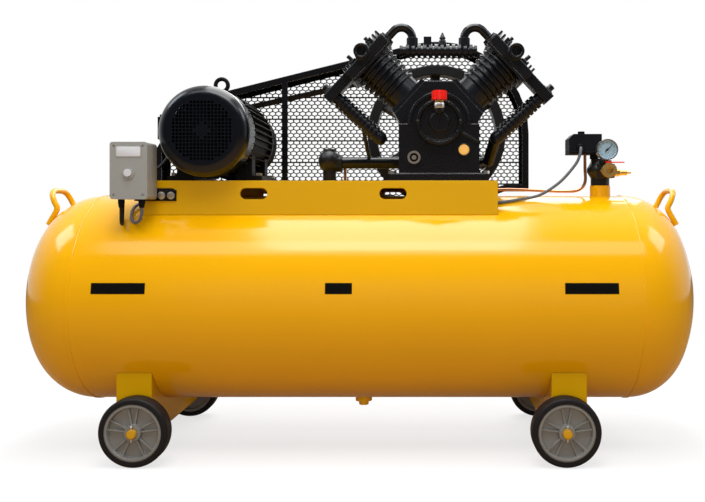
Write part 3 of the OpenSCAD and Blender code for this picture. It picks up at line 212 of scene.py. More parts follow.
class EffectShelf:
    """Makes each shared shader effect once, as a node group with named sockets."""

    def __init__(self) -> None:
        """Starts with no group made."""
        self.made: dict[Effect, Group] = {}

    def get(self, effect: Effect) -> Group:
        """Gives the group of an effect, made on first use.

        Args:
            effect: Which effect.

        Returns:
            Its node group.
        """
        if effect not in self.made:
            self.made[effect] = getattr(self, f"_{effect.name.lower()}")()
        return self.made[effect]

    def place(self, tree: Tree, effect: Effect, **values: object) -> bpy.types.Node:
        """Places an effect in a material.

        Args:
            tree: The material's tree.
            effect: Which effect.
            values: Values of its sockets, underscores for spaces.

        Returns:
            The group node.
        """
        node = tree.tree.nodes.new("ShaderNodeGroup")
        node.node_tree = self.get(effect)
        for key, value in values.items():
            node.inputs[key.replace("_", " ")].default_value = value
        return node

    @staticmethod
    def _start(effect: Effect, outputs: dict[str, str], **inputs: object) -> tuple:
        """Opens a group with sockets.

        Args:
            effect: The effect, whose value names the group.
            outputs: Name and kind of each output.
            inputs: Name and value of each input: a number, three for a vector, four for a colour.

        Returns:
            The tree helper, the sockets that bring the inputs and those that take the outputs.
        """
        group = bpy.data.node_groups.new(effect.value, "ShaderNodeTree")
        kinds = {1: "Float", 3: "Vector", 4: "Color"}
        for name, value in inputs.items():
            kind = "NodeSocket" + kinds[np.size(value)]
            group.interface.new_socket(name, in_out="INPUT", socket_type=kind).default_value = value
        for name, kind in outputs.items():
            group.interface.new_socket(name, in_out="OUTPUT", socket_type="NodeSocket" + kind)
        into, out = (group.nodes.new(kind) for kind in ("NodeGroupInput", "NodeGroupOutput"))
        return Tree(group), into.outputs, out.inputs

    def _drift(self) -> Group:
        """Colour that drifts lighter and darker in soft clouds: value = 1 + (noise - 0.5) * amount.

        Returns:
            The node group.
        """
        grey = (0.5, 0.5, 0.5, 1)
        tree, into, out = self._start(Effect.DRIFT, {"Color": "Color"}, Color=grey, Scale=4.0, Amount=0.2)
        noise = tree.noise(into["Scale"], 4.0)
        shift = tree.math("MULTIPLY", tree.math("SUBTRACT", noise, 0.5), into["Amount"])
        tone = tree.add("HueSaturation")
        tree.join(tree.math("ADD", shift, 1.0), tone.inputs["Value"])
        tree.join(into["Color"], tone.inputs["Color"])
        tree.join(tone.outputs["Color"], out["Color"])
        return tree.tree

    def _wear(self) -> Group:
        """Rounded edges and a mask of rubbed ones, which on the axle ends serves as painted shade: how far the rounded
        normal leans from the true one, in patches.

        Returns:
            The node group.
        """
        given = {"Mask": "Float", "Normal": "Vector"}
        tree, into, out = self._start(Effect.WEAR, given, Width=0.003, Amount=0.5, Scale=40.0)
        soft = tree.add("Bevel", samples=6)
        tree.join(soft.outputs["Normal"], out["Normal"])
        tree.join(into["Width"], soft.inputs["Radius"])
        lean = tree.add("VectorMath", operation="DOT_PRODUCT")
        tree.join(soft.outputs["Normal"], lean.inputs[0])
        tree.join(tree.add("NewGeometry").outputs["Normal"], lean.inputs[1])
        edge = tree.spread(tree.math("SUBTRACT", 1.0, lean.outputs["Value"]), 0.03, 0.25)
        patches = tree.spread(tree.noise(into["Scale"], 5.0), 0.4, 0.65)
        rubbed = tree.math("MULTIPLY", edge, patches)
        tree.join(tree.math("MULTIPLY", rubbed, into["Amount"]), out["Mask"])
        return tree.tree

    def _dust(self) -> Group:
        """Mask of dust that settles where the surface faces up: upward normal times patchy noise.

        Returns:
            The node group.
        """
        tree, into, out = self._start(Effect.DUST, {"Mask": "Float"}, Amount=0.2, Scale=9.0)
        up = tree.add("SeparateXYZ")
        tree.join(tree.add("TexCoord").outputs["Normal"], up.inputs[0])
        patches = tree.spread(tree.noise(into["Scale"], 6.0), 0.3, 0.7)
        lying = tree.math("MULTIPLY", tree.spread(up.outputs["Z"], 0.3, 1.0), patches)
        tree.join(tree.math("MULTIPLY", lying, into["Amount"]), out["Mask"])
        return tree.tree

    def _grain(self) -> Group:
        """Height of a skin: fine noise over a coarser one, for sand castings, enamel and moulded skins.

        Returns:
            The node group.
        """
        tree, into, out = self._start(Effect.GRAIN, {"Height": "Float", "Pits": "Float"}, Scale=300.0, Coarse=0.3)
        fine = tree.noise(into["Scale"], 3.0)
        wide = tree.noise(tree.math("MULTIPLY", into["Scale"], 0.16), 2.0)
        coarse = tree.math("MULTIPLY", wide, into["Coarse"])
        tree.join(tree.math("ADD", fine, coarse), out["Height"])
        tree.join(tree.spread(fine, 0.35, 0.65), out["Pits"])
        return tree.tree

    def _brush(self) -> Group:
        """Fine tool lines: noise drawn out along one axis by a stretched Mapping.

        Returns:
            The node group.
        """
        tree, into, out = self._start(Effect.BRUSH, {"Lines": "Float"}, Scale=60.0, Stretch=(1.0, 14.0, 1.0))
        mapping = tree.add("Mapping")
        tree.join(tree.add("TexCoord").outputs["Object"], mapping.inputs["Vector"])
        tree.join(into["Stretch"], mapping.inputs["Scale"])
        tree.join(tree.noise(into["Scale"], 3.0, mapping.outputs["Vector"]), out["Lines"])
        return tree.tree


SHELF = EffectShelf()


# Finishes


@dataclass(frozen=True)
class Finish:
    """A surface finish: colour, gloss, skin and ageing, built from the shared effects; the platform's and the axle
    ends' colours carry painted shade.
    """

    colour: Colour
    rough: float = 0.4
    metal: float = 0.0
    coat: float = 0.0
    coat_rough: float = 0.06
    drift: float = 0.12
    drift_scale: float = 5.0
    grain: float = 200.0
    grain_depth: float = 0.1
    rough_spread: float = 0.08
    wear: float = 0.0
    wear_width: float = 0.003
    wear_and_shade_colour: Colour = (0.35, 0.34, 0.33)
    wear_rough: float = 0.2
    dust: float = 0.0
    dust_colour: Colour = (0.45, 0.43, 0.40)
    dust_rough: float = 0.4
    brushed: float = 0.0
    brush_rough: float = 0.15
    specular: float = 0.5

    def material(self, slot: Slot) -> bpy.types.Material:
        """Builds the material of this finish.

        Args:
            slot: The slot that the material is named for.

        Returns:
            A node material with one Principled BSDF.
        """
        material = bpy.data.materials.new(slot.value)
        material.use_nodes = True
        tree = Tree(material.node_tree)
        shader = material.node_tree.nodes["Principled BSDF"]
        for socket, value in (
            ("Metallic", self.metal), ("Coat Weight", self.coat), ("Coat Roughness", self.coat_rough),
            ("Specular IOR Level", self.specular),
        ):
            shader.inputs[socket].default_value = value
        drift = SHELF.place(tree, Effect.DRIFT, Color=(*self.colour, 1), Scale=self.drift_scale, Amount=self.drift)
        colour = drift.outputs["Color"]
        grain = SHELF.place(tree, Effect.GRAIN, Scale=self.grain)
        bump = tree.add("Bump", Strength=self.grain_depth, Distance=MM)
        rough = tree.plus(self.rough, tree.math("SUBTRACT", grain.outputs["Pits"], 0.5), self.rough_spread)
        if self.dust:
            dust = SHELF.place(tree, Effect.DUST, Amount=self.dust)
            colour = self._mix(tree, dust.outputs["Mask"], colour, self.dust_colour)
            rough = tree.plus(rough, dust.outputs["Mask"], self.dust_rough)
        # Rounded edges mixed to the edge colour in patches: rubbed paint on most finishes, painted shade on the axle
        # ends.
        if self.wear:
            wear = SHELF.place(tree, Effect.WEAR, Amount=self.wear, Width=self.wear_width)
            colour = self._mix(tree, wear.outputs["Mask"], colour, self.wear_and_shade_colour)
            rough = tree.plus(rough, wear.outputs["Mask"], self.wear_rough)
            tree.join(wear.outputs["Normal"], bump.inputs["Normal"])
        height = grain.outputs["Height"]
        if self.brushed:
            lines = SHELF.place(tree, Effect.BRUSH)
            height = tree.plus(height, lines.outputs["Lines"], self.brushed)
            rough = tree.plus(rough, lines.outputs["Lines"], self.brush_rough * self.brushed)
        tree.join(height, bump.inputs["Height"])
        tree.join(colour, shader.inputs["Base Color"])
        tree.join(rough, shader.inputs["Roughness"])
        tree.join(bump.outputs["Normal"], shader.inputs["Normal"])
        return material

    @staticmethod
    def _mix(tree: Tree, mask: Socket, under: Socket, over: Colour) -> Socket:
        """Lays a plain colour over another by a mask.

        Args:
            tree: The material's tree.
            mask: Socket that is 1 where the plain colour shows.
            under: Socket of the colour below.
            over: The plain colour.

        Returns:
            The mixed colour's socket.
        """
        node = tree.add("Mix", data_type="RGBA")
        tree.join(mask, node.inputs["Factor"])
        tree.join(under, node.inputs["A"])
        node.inputs["B"].default_value = (*over, 1)
        return node.outputs["Result"]


@dataclass(frozen=True)
class Enamel(Finish):
    """Sprayed gloss enamel with a faint orange peel."""

    rough: float = 0.13
    rough_spread: float = 0.03
    grain: float = 60.0
    grain_depth: float = 0.012
    drift: float = 0.05


@dataclass(frozen=True)
class CastSkin(Finish):
    """Painted sand casting with a rough skin and rubbed edges."""

    rough: float = 0.26
    grain: float = 420.0
    grain_depth: float = 0.12
    wear: float = 0.3
    wear_width: float = 0.005
    wear_and_shade_colour: Colour = (0.05, 0.05, 0.055)


@dataclass(frozen=True)
class BareMetal(Finish):
    """Machined or plated bare metal with tool lines."""

    rough: float = 0.26
    metal: float = 1.0
    brushed: float = 0.6
    grain: float = 600.0
    grain_depth: float = 0.06
    drift: float = 0.18
    drift_scale: float = 30.0


@dataclass(frozen=True)
class Moulded(Finish):
    """Moulded plastic with a fine textured skin."""

    rough: float = 0.42
    grain: float = 900.0
    grain_depth: float = 0.12
    drift: float = 0.08


@dataclass(frozen=True)
class Sheath(Finish):
    """Rubber or soft vinyl, matt and a little uneven."""

    rough: float = 0.55
    grain: float = 700.0
    grain_depth: float = 0.18
    drift: float = 0.2
    drift_scale: float = 12.0


YELLOW: Colour = (0.84, 0.41, 0.001)
BLACK: Colour = (0.0035, 0.0035, 0.0045)
WORN_BLACK: Colour = (0.05, 0.05, 0.055)
FINISHES: dict[Slot, Finish] = {
    Slot.YELLOW: Enamel(YELLOW),
    # Platform and legs: a darker copy of the receiver's yellow paint, as painted shade on their front faces; their
    # rubbed edges go a darker orange.
    Slot.SHADED_SHEET: Enamel(
        (0.67, 0.365, 0.001), rough=0.24, specular=0.15, wear=0.1, wear_width=0.004, wear_and_shade_colour=(0.5, 0.24, 0.01)
    ),
    Slot.BLACK: Enamel(BLACK, rough=0.2, wear=0.15, wear_and_shade_colour=WORN_BLACK),
    Slot.RIBS: Enamel(BLACK, rough=0.5, specular=0.15),
    Slot.CAST: CastSkin((0.0045, 0.0045, 0.006)),
    # Cowl: black enamel whose colour carries a slight blue tint, a painted tint of the bluish highlights on its rolled
    # rim.
    Slot.COWL: Enamel((0.002, 0.003, 0.006), rough=0.22, grain_depth=0.003),
    # Axle ends: a darker copy of the yellow paint, as painted shade; the dark brown patches that the edge mask lays on
    # their rounded rims are painted shade of a bolt end too.
    Slot.SHADED_AXLE: Enamel((0.62, 0.32, 0.008), rough=0.3, wear=0.5, wear_width=0.008, wear_and_shade_colour=(0.28, 0.14, 0.01)),
    # Fins: cast black whose colour carries a slight blue tint, a painted tint of the bluish highlights along the fin
    # edges.
    Slot.FIN: CastSkin((0.004, 0.005, 0.008), rough=0.3, grain_depth=0.06, wear=0.05, wear_width=0.0015, specular=0.4),
    Slot.WHEEL: CastSkin((0.006, 0.006, 0.007), rough=0.4),
    Slot.MESH: Enamel((0.016, 0.016, 0.018), rough=0.5, specular=0.2),
    Slot.STEEL: BareMetal((0.62, 0.62, 0.63)),
    Slot.ZINC: BareMetal((0.78, 0.77, 0.74), rough=0.3),
    Slot.FITTING: CastSkin((0.007, 0.007, 0.008), rough=0.42),
    Slot.COPPER: BareMetal((0.80, 0.40, 0.24), rough=0.3, brushed=0.3),
    Slot.BRASS: BareMetal((0.95, 0.68, 0.25), rough=0.36),
    Slot.LENS: Moulded((1.0, 0.57, 0.14), rough=0.12, coat=0.6),
    Slot.BELT: Sheath((0.008, 0.008, 0.008), rough=0.7, specular=0.2),
    Slot.BOX: Moulded((0.30, 0.305, 0.29), dust=0.05, specular=0.25),
    Slot.GREY_LEAD: Sheath((0.11, 0.12, 0.14), rough=0.45, specular=0.3),
    Slot.BLACK_LEAD: Sheath((0.008, 0.008, 0.009), specular=0.25),
    Slot.SWITCH: Moulded((0.006, 0.006, 0.009), rough=0.55, specular=0.1, wear=0.1, wear_and_shade_colour=WORN_BLACK),
    Slot.CHROME: BareMetal((0.86, 0.89, 0.92), rough=0.28, brushed=0.1),
    # Hub: grey plastic whose rounded edges turn paler grey in patches, which lightens its lip ring.
    Slot.HUB: Moulded((0.21, 0.205, 0.19), dust=0.1, wear=0.7, wear_and_shade_colour=(0.45, 0.45, 0.44), specular=0.3),
    Slot.TYRE: Sheath((0.009, 0.009, 0.011), dust=0.04, specular=0.25),
    Slot.NEEDLE: Moulded((0.003, 0.003, 0.003), rough=0.6, specular=0.08),
    Slot.RED: Moulded((0.82, 0.012, 0.004), rough=0.3, coat=0.1),
    Slot.BUTTON: Moulded((0.60, 0.61, 0.64), rough=0.3),
    Slot.SHAFT: BareMetal((0.06, 0.06, 0.06), rough=0.5),
    Slot.DIAL: Moulded((0.28, 0.41, 0.50), rough=0.35),
}
NODE_FINISHES: dict[str, Slot] = {
    "rotor": Slot.SHAFT,
    "motor_housing": Slot.RIBS,
    "fan_cowl": Slot.COWL,
    "axles": Slot.SHADED_AXLE,
    "cylinder_left": Slot.FIN,
    "cylinder_right": Slot.FIN,
    "intercooler": Slot.FIN,
    "base_plate": Slot.SHADED_SHEET,
    "leg_left": Slot.SHADED_SHEET,
    "leg_right": Slot.SHADED_SHEET,
}


# Surfaces


class Sheet:
    """Turns arrays of points into meshes."""

    @staticmethod
    def strip_faces(rows: int, columns: int, wrap_rows: bool) -> Array:
        """Four-cornered faces between neighbours of a grid whose last column joins the first.

        Args:
            rows: Number of rows of points.
            columns: Number of points in a row.
            wrap_rows: Whether the last row joins the first.

        Returns:
            An array of corner numbers, one row a face.
        """
        i, k = np.meshgrid(np.arange(rows - (not wrap_rows)), np.arange(columns), indexing="ij")
        j, m = (i + 1) % rows, (k + 1) % columns
        return np.stack([i * columns + k, i * columns + m, j * columns + m, j * columns + k], -1).reshape(-1, 4)

    @classmethod
    def grid(cls, name: str, *grids: Array, wrap_rows: bool = False, caps: bool = False) -> Piece:
        """Makes one object from grids of points of one size, whose columns close into rings.

        Args:
            name: Piece name.
            grids: Arrays of shape rows, columns, 3.
            wrap_rows: Whether the rows close into a ring.
            caps: Whether the first and last row are closed by a face.

        Returns:
            The new object.
        """
        rows, columns = grids[0].shape[:2]
        strip = cls.strip_faces(rows, columns, wrap_rows)
        faces: list[list[int]] = []
        for start in range(0, len(grids) * rows * columns, rows * columns):
            faces += (strip + start).tolist()
            if caps:
                last = start + (rows - 1) * columns
                faces += [list(range(start, start + columns)), list(range(last, last + columns))]
        return cls.solid(name, np.concatenate([g.reshape(-1, 3) for g in grids]), faces)

    @classmethod
    def bars(
        cls, name: str, ends: Sequence[Array], half: Array, depths: Sequence[float], lean: float, angle: float
    ) -> Piece:
        """Makes one object of many flat bars in an upright plane: corners = end + or - half * normal, at two depths.

        Args:
            name: Piece name.
            ends: X and Z of the bars' starts, then of their ends, in millimetres.
            half: Half width of each bar.
            depths: Y of the front and of the back.
            lean: How much further back the lower edge lies.
            angle: Edges sharper than this many degrees stay sharp.

        Returns:
            The new object.
        """
        x0, z0, x1, z1 = ends
        run = np.hypot(x1 - x0, z1 - z0)
        nx, nz = (z0 - z1) / run * half, (x1 - x0) / run * half
        corners = [
            np.stack([x + s * nx, np.full(x.shape, y + lean * (s < 0)), z + s * nz], -1)
            for y in depths
            for x, z, s in ((x0, z0, 1), (x1, z1, 1), (x1, z1, -1), (x0, z0, -1))
        ]
        pattern = np.array([(0, 1, 2, 3), (7, 6, 5, 4), (0, 4, 5, 1), (1, 5, 6, 2), (2, 6, 7, 3), (3, 7, 4, 0)])
        faces = (np.arange(len(run))[:, None, None] * len(corners) + pattern).reshape(-1, 4)
        return cls.solid(name, np.stack(corners, 1).reshape(-1, 3) * MM, faces.tolist(), angle)

    @classmethod
    def turned(
        cls,
        name: str,
        profile: Sequence[tuple],
        place: Sequence[float],
        axis: Sequence[float],
        ring: bool = False,
        around: int = 48,
    ) -> Piece:
        """Turns a profile about an axis: place + distance * axis + radius * (cos a, sin a), six flats where asked.

        Args:
            name: Piece name.
            profile: Radius, distance along the axis and 1 for six flats or 0, in millimetres.
            place: Start of the axis.
            axis: Its direction.
            ring: Whether the profile closes on itself round an open middle.
            around: Points in a turn.

        Returns:
            The new object.
        """
        rows = np.asarray(profile, float)
        angle = np.linspace(0, 2 * np.pi, around, endpoint=False)
        flat = np.minimum(1.0, 1.06 * np.cos(np.pi / 6) / np.cos(angle % (np.pi / 3) - np.pi / 6))
        reach = rows[:, :1] * np.where(rows[:, 2:] > 0, flat, 1.0)
        step, side = np.asarray(axis, float), np.roll(np.abs(axis), 1)
        turn = np.cos(angle)[:, None] * side + np.sin(angle)[:, None] * np.cross(step, side)
        points = np.asarray(place, float) + rows[:, 1][:, None, None] * step + reach[:, :, None] * turn
        return cls.grid(name, points * MM, wrap_rows=ring, caps=not ring)

    @staticmethod
    def solid(name: str, points: Array, faces: Sequence[Sequence[int]], angle: float = 35.0) -> Piece:
        """Makes an object from points and faces, outward normals, smooth below an angle.

        Args:
            name: Piece name.
            points: Array of points.
            faces: Corner numbers of each face.
            angle: Edges sharper than this many degrees stay sharp.

        Returns:
            The new object.
        """
        mesh = bpy.data.meshes.new(name)
        mesh.from_pydata(np.asarray(points, float).tolist(), [], [list(f) for f in faces])
        shape = bmesh.new()
        shape.from_mesh(mesh)
        bmesh.ops.recalc_face_normals(shape, faces=shape.faces)
        shape.to_mesh(mesh)
        shape.free()
        mesh.polygons.foreach_set("use_smooth", np.ones(len(mesh.polygons), bool))
        mesh.set_sharp_from_angle(angle=math.radians(angle))
        piece = bpy.data.objects.new(name, mesh)
        bpy.context.scene.collection.objects.link(piece)
        return piece


class Path:
    """A smooth line through points, with directions across it."""

    def __init__(self, points: Sequence[Sequence[float]], steps: int = 10) -> None:
        """Runs a cubic through the points, each piece p(t) = (2b + (c-a)t + (2a-5b+4c-d)t2 + (3b-a-3c+d)t3) / 2.

        Args:
            points: Points in millimetres.
            steps: Points worked out between neighbours.
        """
        given = np.asarray(points, float) * MM
        a = np.concatenate([given[:1], given[:-2]])
        b, c = given[:-1], given[1:]
        d = np.concatenate([given[2:], given[-1:]])
        t = (np.arange(steps) / steps)[None, :, None]
        a, b, c, d = (v[:, None, :] for v in (a, b, c, d))
        curve = 0.5 * (2 * b + (c - a) * t + (2 * a - 5 * b + 4 * c - d) * t**2 + (3 * b - a - 3 * c + d) * t**3)
        self.line = np.concatenate([curve.reshape(-1, 3), given[-1:]])
        ahead = np.concatenate([self.line[1:], self.line[-1:]])
        behind = np.concatenate([self.line[:1], self.line[:-1]])
        run = ahead - behind
        self.forward = run / np.linalg.norm(run, axis=1, keepdims=True)
        self.side, self.up = self._across()

    def _across(self) -> tuple[Array, Array]:
        """Two directions across the line, from the fixed direction that keeps furthest from its headings.

        Returns:
            Unit vectors to the side and up, one row a point.
        """
        slant = [[0.6, 0.8, 0], [0.8, -0.6, 0], [0.5, 0.5, -0.7], [0.5, 0.6, 0.6]]
        tries = np.concatenate([np.eye(3), slant])
        tries /= np.linalg.norm(tries, axis=1, keepdims=True)
        best = tries[np.argmin(np.abs(self.forward @ tries.T).max(0))]
        side = best - (self.forward @ best)[:, None] * self.forward
        side /= np.linalg.norm(side, axis=1, keepdims=True)
        return side, np.cross(self.forward, side)

    def tube(self, radius: float, around: int = 20) -> Array:
        """Rings of points round the line: line + radius * (side cos a + up sin a).

        Args:
            radius: Radius in metres.
            around: Points in a ring.

        Returns:
            Array of shape points, around, 3.
        """
        angle = np.linspace(0, 2 * np.pi, around, endpoint=False)
        ring = np.cos(angle)[:, None] * self.side[:, None] + np.sin(angle)[:, None] * self.up[:, None]
        return self.line[:, None] + radius * ring


class Palette:
    """Makes each slot's material once and lays it on nodes and pieces."""

    def __init__(self) -> None:
        """Builds every finish."""
        self.materials = {slot: finish.material(slot) for slot, finish in FINISHES.items()}

    def dress_nodes(self, nodes: dict[str, Piece], record: dict) -> None:
        """Lays the slot's material on each carried-over node.

        Args:
            nodes: Node name to object.
            record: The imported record, whose subparts name the slots.
        """
        for entry in record["subparts"]:
            slot = NODE_FINISHES.get(entry["node"], Slot(entry["material_slot"]))
            self._lay(nodes[entry["node"]], slot)
            log.info("node %s in %s", entry["node"], slot.value)

    def finish(self, piece: Piece, slot: Slot, replaces: Sequence[str] = (), look: Slot | None = None) -> Piece:
        """Lays a finish on a new piece and ties it to the receiver, on which all of them ride.

        Args:
            piece: The new piece.
            slot: Its finish.
            replaces: Nodes that it stands for.
            look: Another finish that it shows, if any.

        Returns:
            The same piece.
        """
        self._lay(piece, look or slot)
        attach(piece, STATIC_BODY)
        if replaces:
            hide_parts(*replaces)
        log.info("piece %s in %s", piece.name, slot.value)
        return piece

    def _lay(self, piece: Piece, slot: Slot) -> None:
        """Gives a piece one material."""
        piece.data.materials.clear()
        piece.data.materials.append(self.materials[slot])


# Sub-assemblies


@dataclass
class Receiver:
    """The receiver's welds, handles and plain stripes. Sizes in millimetres."""

    radius: float = TANK_RADIUS
    axis_height: float = TANK_HEIGHT
    shell_half: float = 746.0
    skirt: float = 8.0
    crown: float = 452.0
    knuckle: float = 156.0
    bead: float = 2.6
    bead_sink: float = 1.4
    bead_shift: float = 1.5
    bead_flat: float = 1.15
    ripples: int = 130
    ripple_height: float = 0.16
    ripple_bow: float = 0.7
    handle_bar: float = 8.0
    handle_spread: float = 61.0
    handle_bend: float = 0.62
    handle_foot: float = 46.0
    handle_root: float = 69.0
    handle_grip: float = 48.0
    handle_above: float = 15.0
    stripes: tuple = ((-686.5, -546.8), (-81.2, -11.4), (539.5, 679.2))
    stripe_heights: tuple = (450.8, 479.2)
    stripe_skins: tuple = (0.35, -0.2)

    @property
    def half(self) -> float:
        """Half length over the ends."""
        inner = self.crown - self.knuckle
        return self.shell_half + self.skirt + self.crown - math.sqrt(inner**2 - (self.radius - self.knuckle) ** 2)

    def build(self, palette: Palette) -> None:
        """Makes welds, handles and stripes.

        Args:
            palette: Finishes to lay on them.
        """
        for side, word in ((-1, "left"), (1, "right")):
            palette.finish(self.seam(side, word), Slot.YELLOW)
        palette.finish(self.handles(), Slot.YELLOW, replaces=["lifting_handles"])
        palette.finish(self.stripe_marks(), Slot.NEEDLE)

    def seam(self, side: int, word: str) -> Piece:
        """Weld bead round a seam: a ring whose bead swells in overlapping ripples, height = 1 + h |sin n a|.

        Args:
            side: -1 for the left seam, 1 for the right one.
            word: Ending of the piece's name.

        Returns:
            The weld.
        """
        angle = np.linspace(0, 2 * np.pi, 780, endpoint=False)[:, None]
        turn = np.linspace(0, 2 * np.pi, 10, endpoint=False)[None, :]
        bow = self.ripple_bow * np.cos(turn)
        bead = self.bead * (1 + self.ripple_height * np.abs(np.sin(self.ripples * angle + bow)))
        reach = self.radius - self.bead_sink + bead * np.sin(turn)
        along = side * (self.shell_half + self.bead_shift) + self.bead_flat * bead * np.cos(turn) + 0 * angle
        points = np.stack([along, reach * np.cos(angle), self.axis_height + reach * np.sin(angle)], -1) * MM
        return Sheet.grid(f"seam_weld_{word}", points, wrap_rows=True)

    def over_crown(self, x: float, y: float, above: float) -> float:
        """Height above the floor of the crown plus a distance, at a place along and across."""
        centre = self.half - self.crown
        return self.axis_height + math.sqrt((self.crown + above) ** 2 - (x - centre) ** 2 - y**2)

    def handle_line(self, side: int) -> list[Point]:
        """Middle line of a handle: feet on the crown and an arch y = s |cos t|^b, z = knee + h |sin t|^b.

        Args:
            side: -1 for the left handle, 1 for the right one.

        Returns:
            Points in millimetres.
        """
        lift = self.handle_bar + 0.2
        foot, root, grip = (self.half - back for back in (self.handle_foot, self.handle_root, self.handle_grip))
        top = self.axis_height + self.radius + self.handle_above
        knee = self.over_crown(root - 1, self.handle_spread, lift) + 7
        t = np.linspace(0, math.pi, 19)
        rise = np.sin(t) ** self.handle_bend
        along = root - 1 + (grip - root + 1) * rise
        across = -self.handle_spread * np.sign(np.cos(t)) * np.abs(np.cos(t)) ** self.handle_bend
        arch = np.stack([along, across, knee + (top - knee) * rise], 1)
        foot_xs = (foot, foot - 9, root + 5)
        feet = [(x, -self.handle_spread, self.over_crown(x, self.handle_spread, lift)) for x in foot_xs]
        line = [*feet, *arch.tolist(), *((x, -y, z) for x, y, z in reversed(feet))]
        return [(side * x, y, z) for x, y, z in line]

    def handles(self) -> Piece:
        """Both handles: a round bar carried along its middle line."""
        bars = [Path(self.handle_line(side)).tube(self.handle_bar * MM, 24) for side in (-1, 1)]
        return Sheet.grid("handle_bars", *bars, caps=True)

    def stripe_marks(self) -> Piece:
        """Plain bars on the front of the shell: strips of its cylinder, from just inside to just outside.

        Returns:
            The bars as one piece.
        """
        low, high = (math.asin((z - self.axis_height) / self.radius) for z in self.stripe_heights)
        angle = np.linspace(low, high, 9)
        turn = np.concatenate([angle, angle[::-1]])
        reach = self.radius + np.repeat(self.stripe_skins, len(angle))
        section = np.stack([0 * turn, -reach * np.cos(turn), self.axis_height + reach * np.sin(turn)], 1)
        bars = [
            section * MM + np.stack([np.linspace(*ends, 5) * MM, np.zeros(5), np.zeros(5)], 1)[:, None]
            for ends in self.stripes
        ]
        return Sheet.grid("stripe_marks", *bars, caps=True)


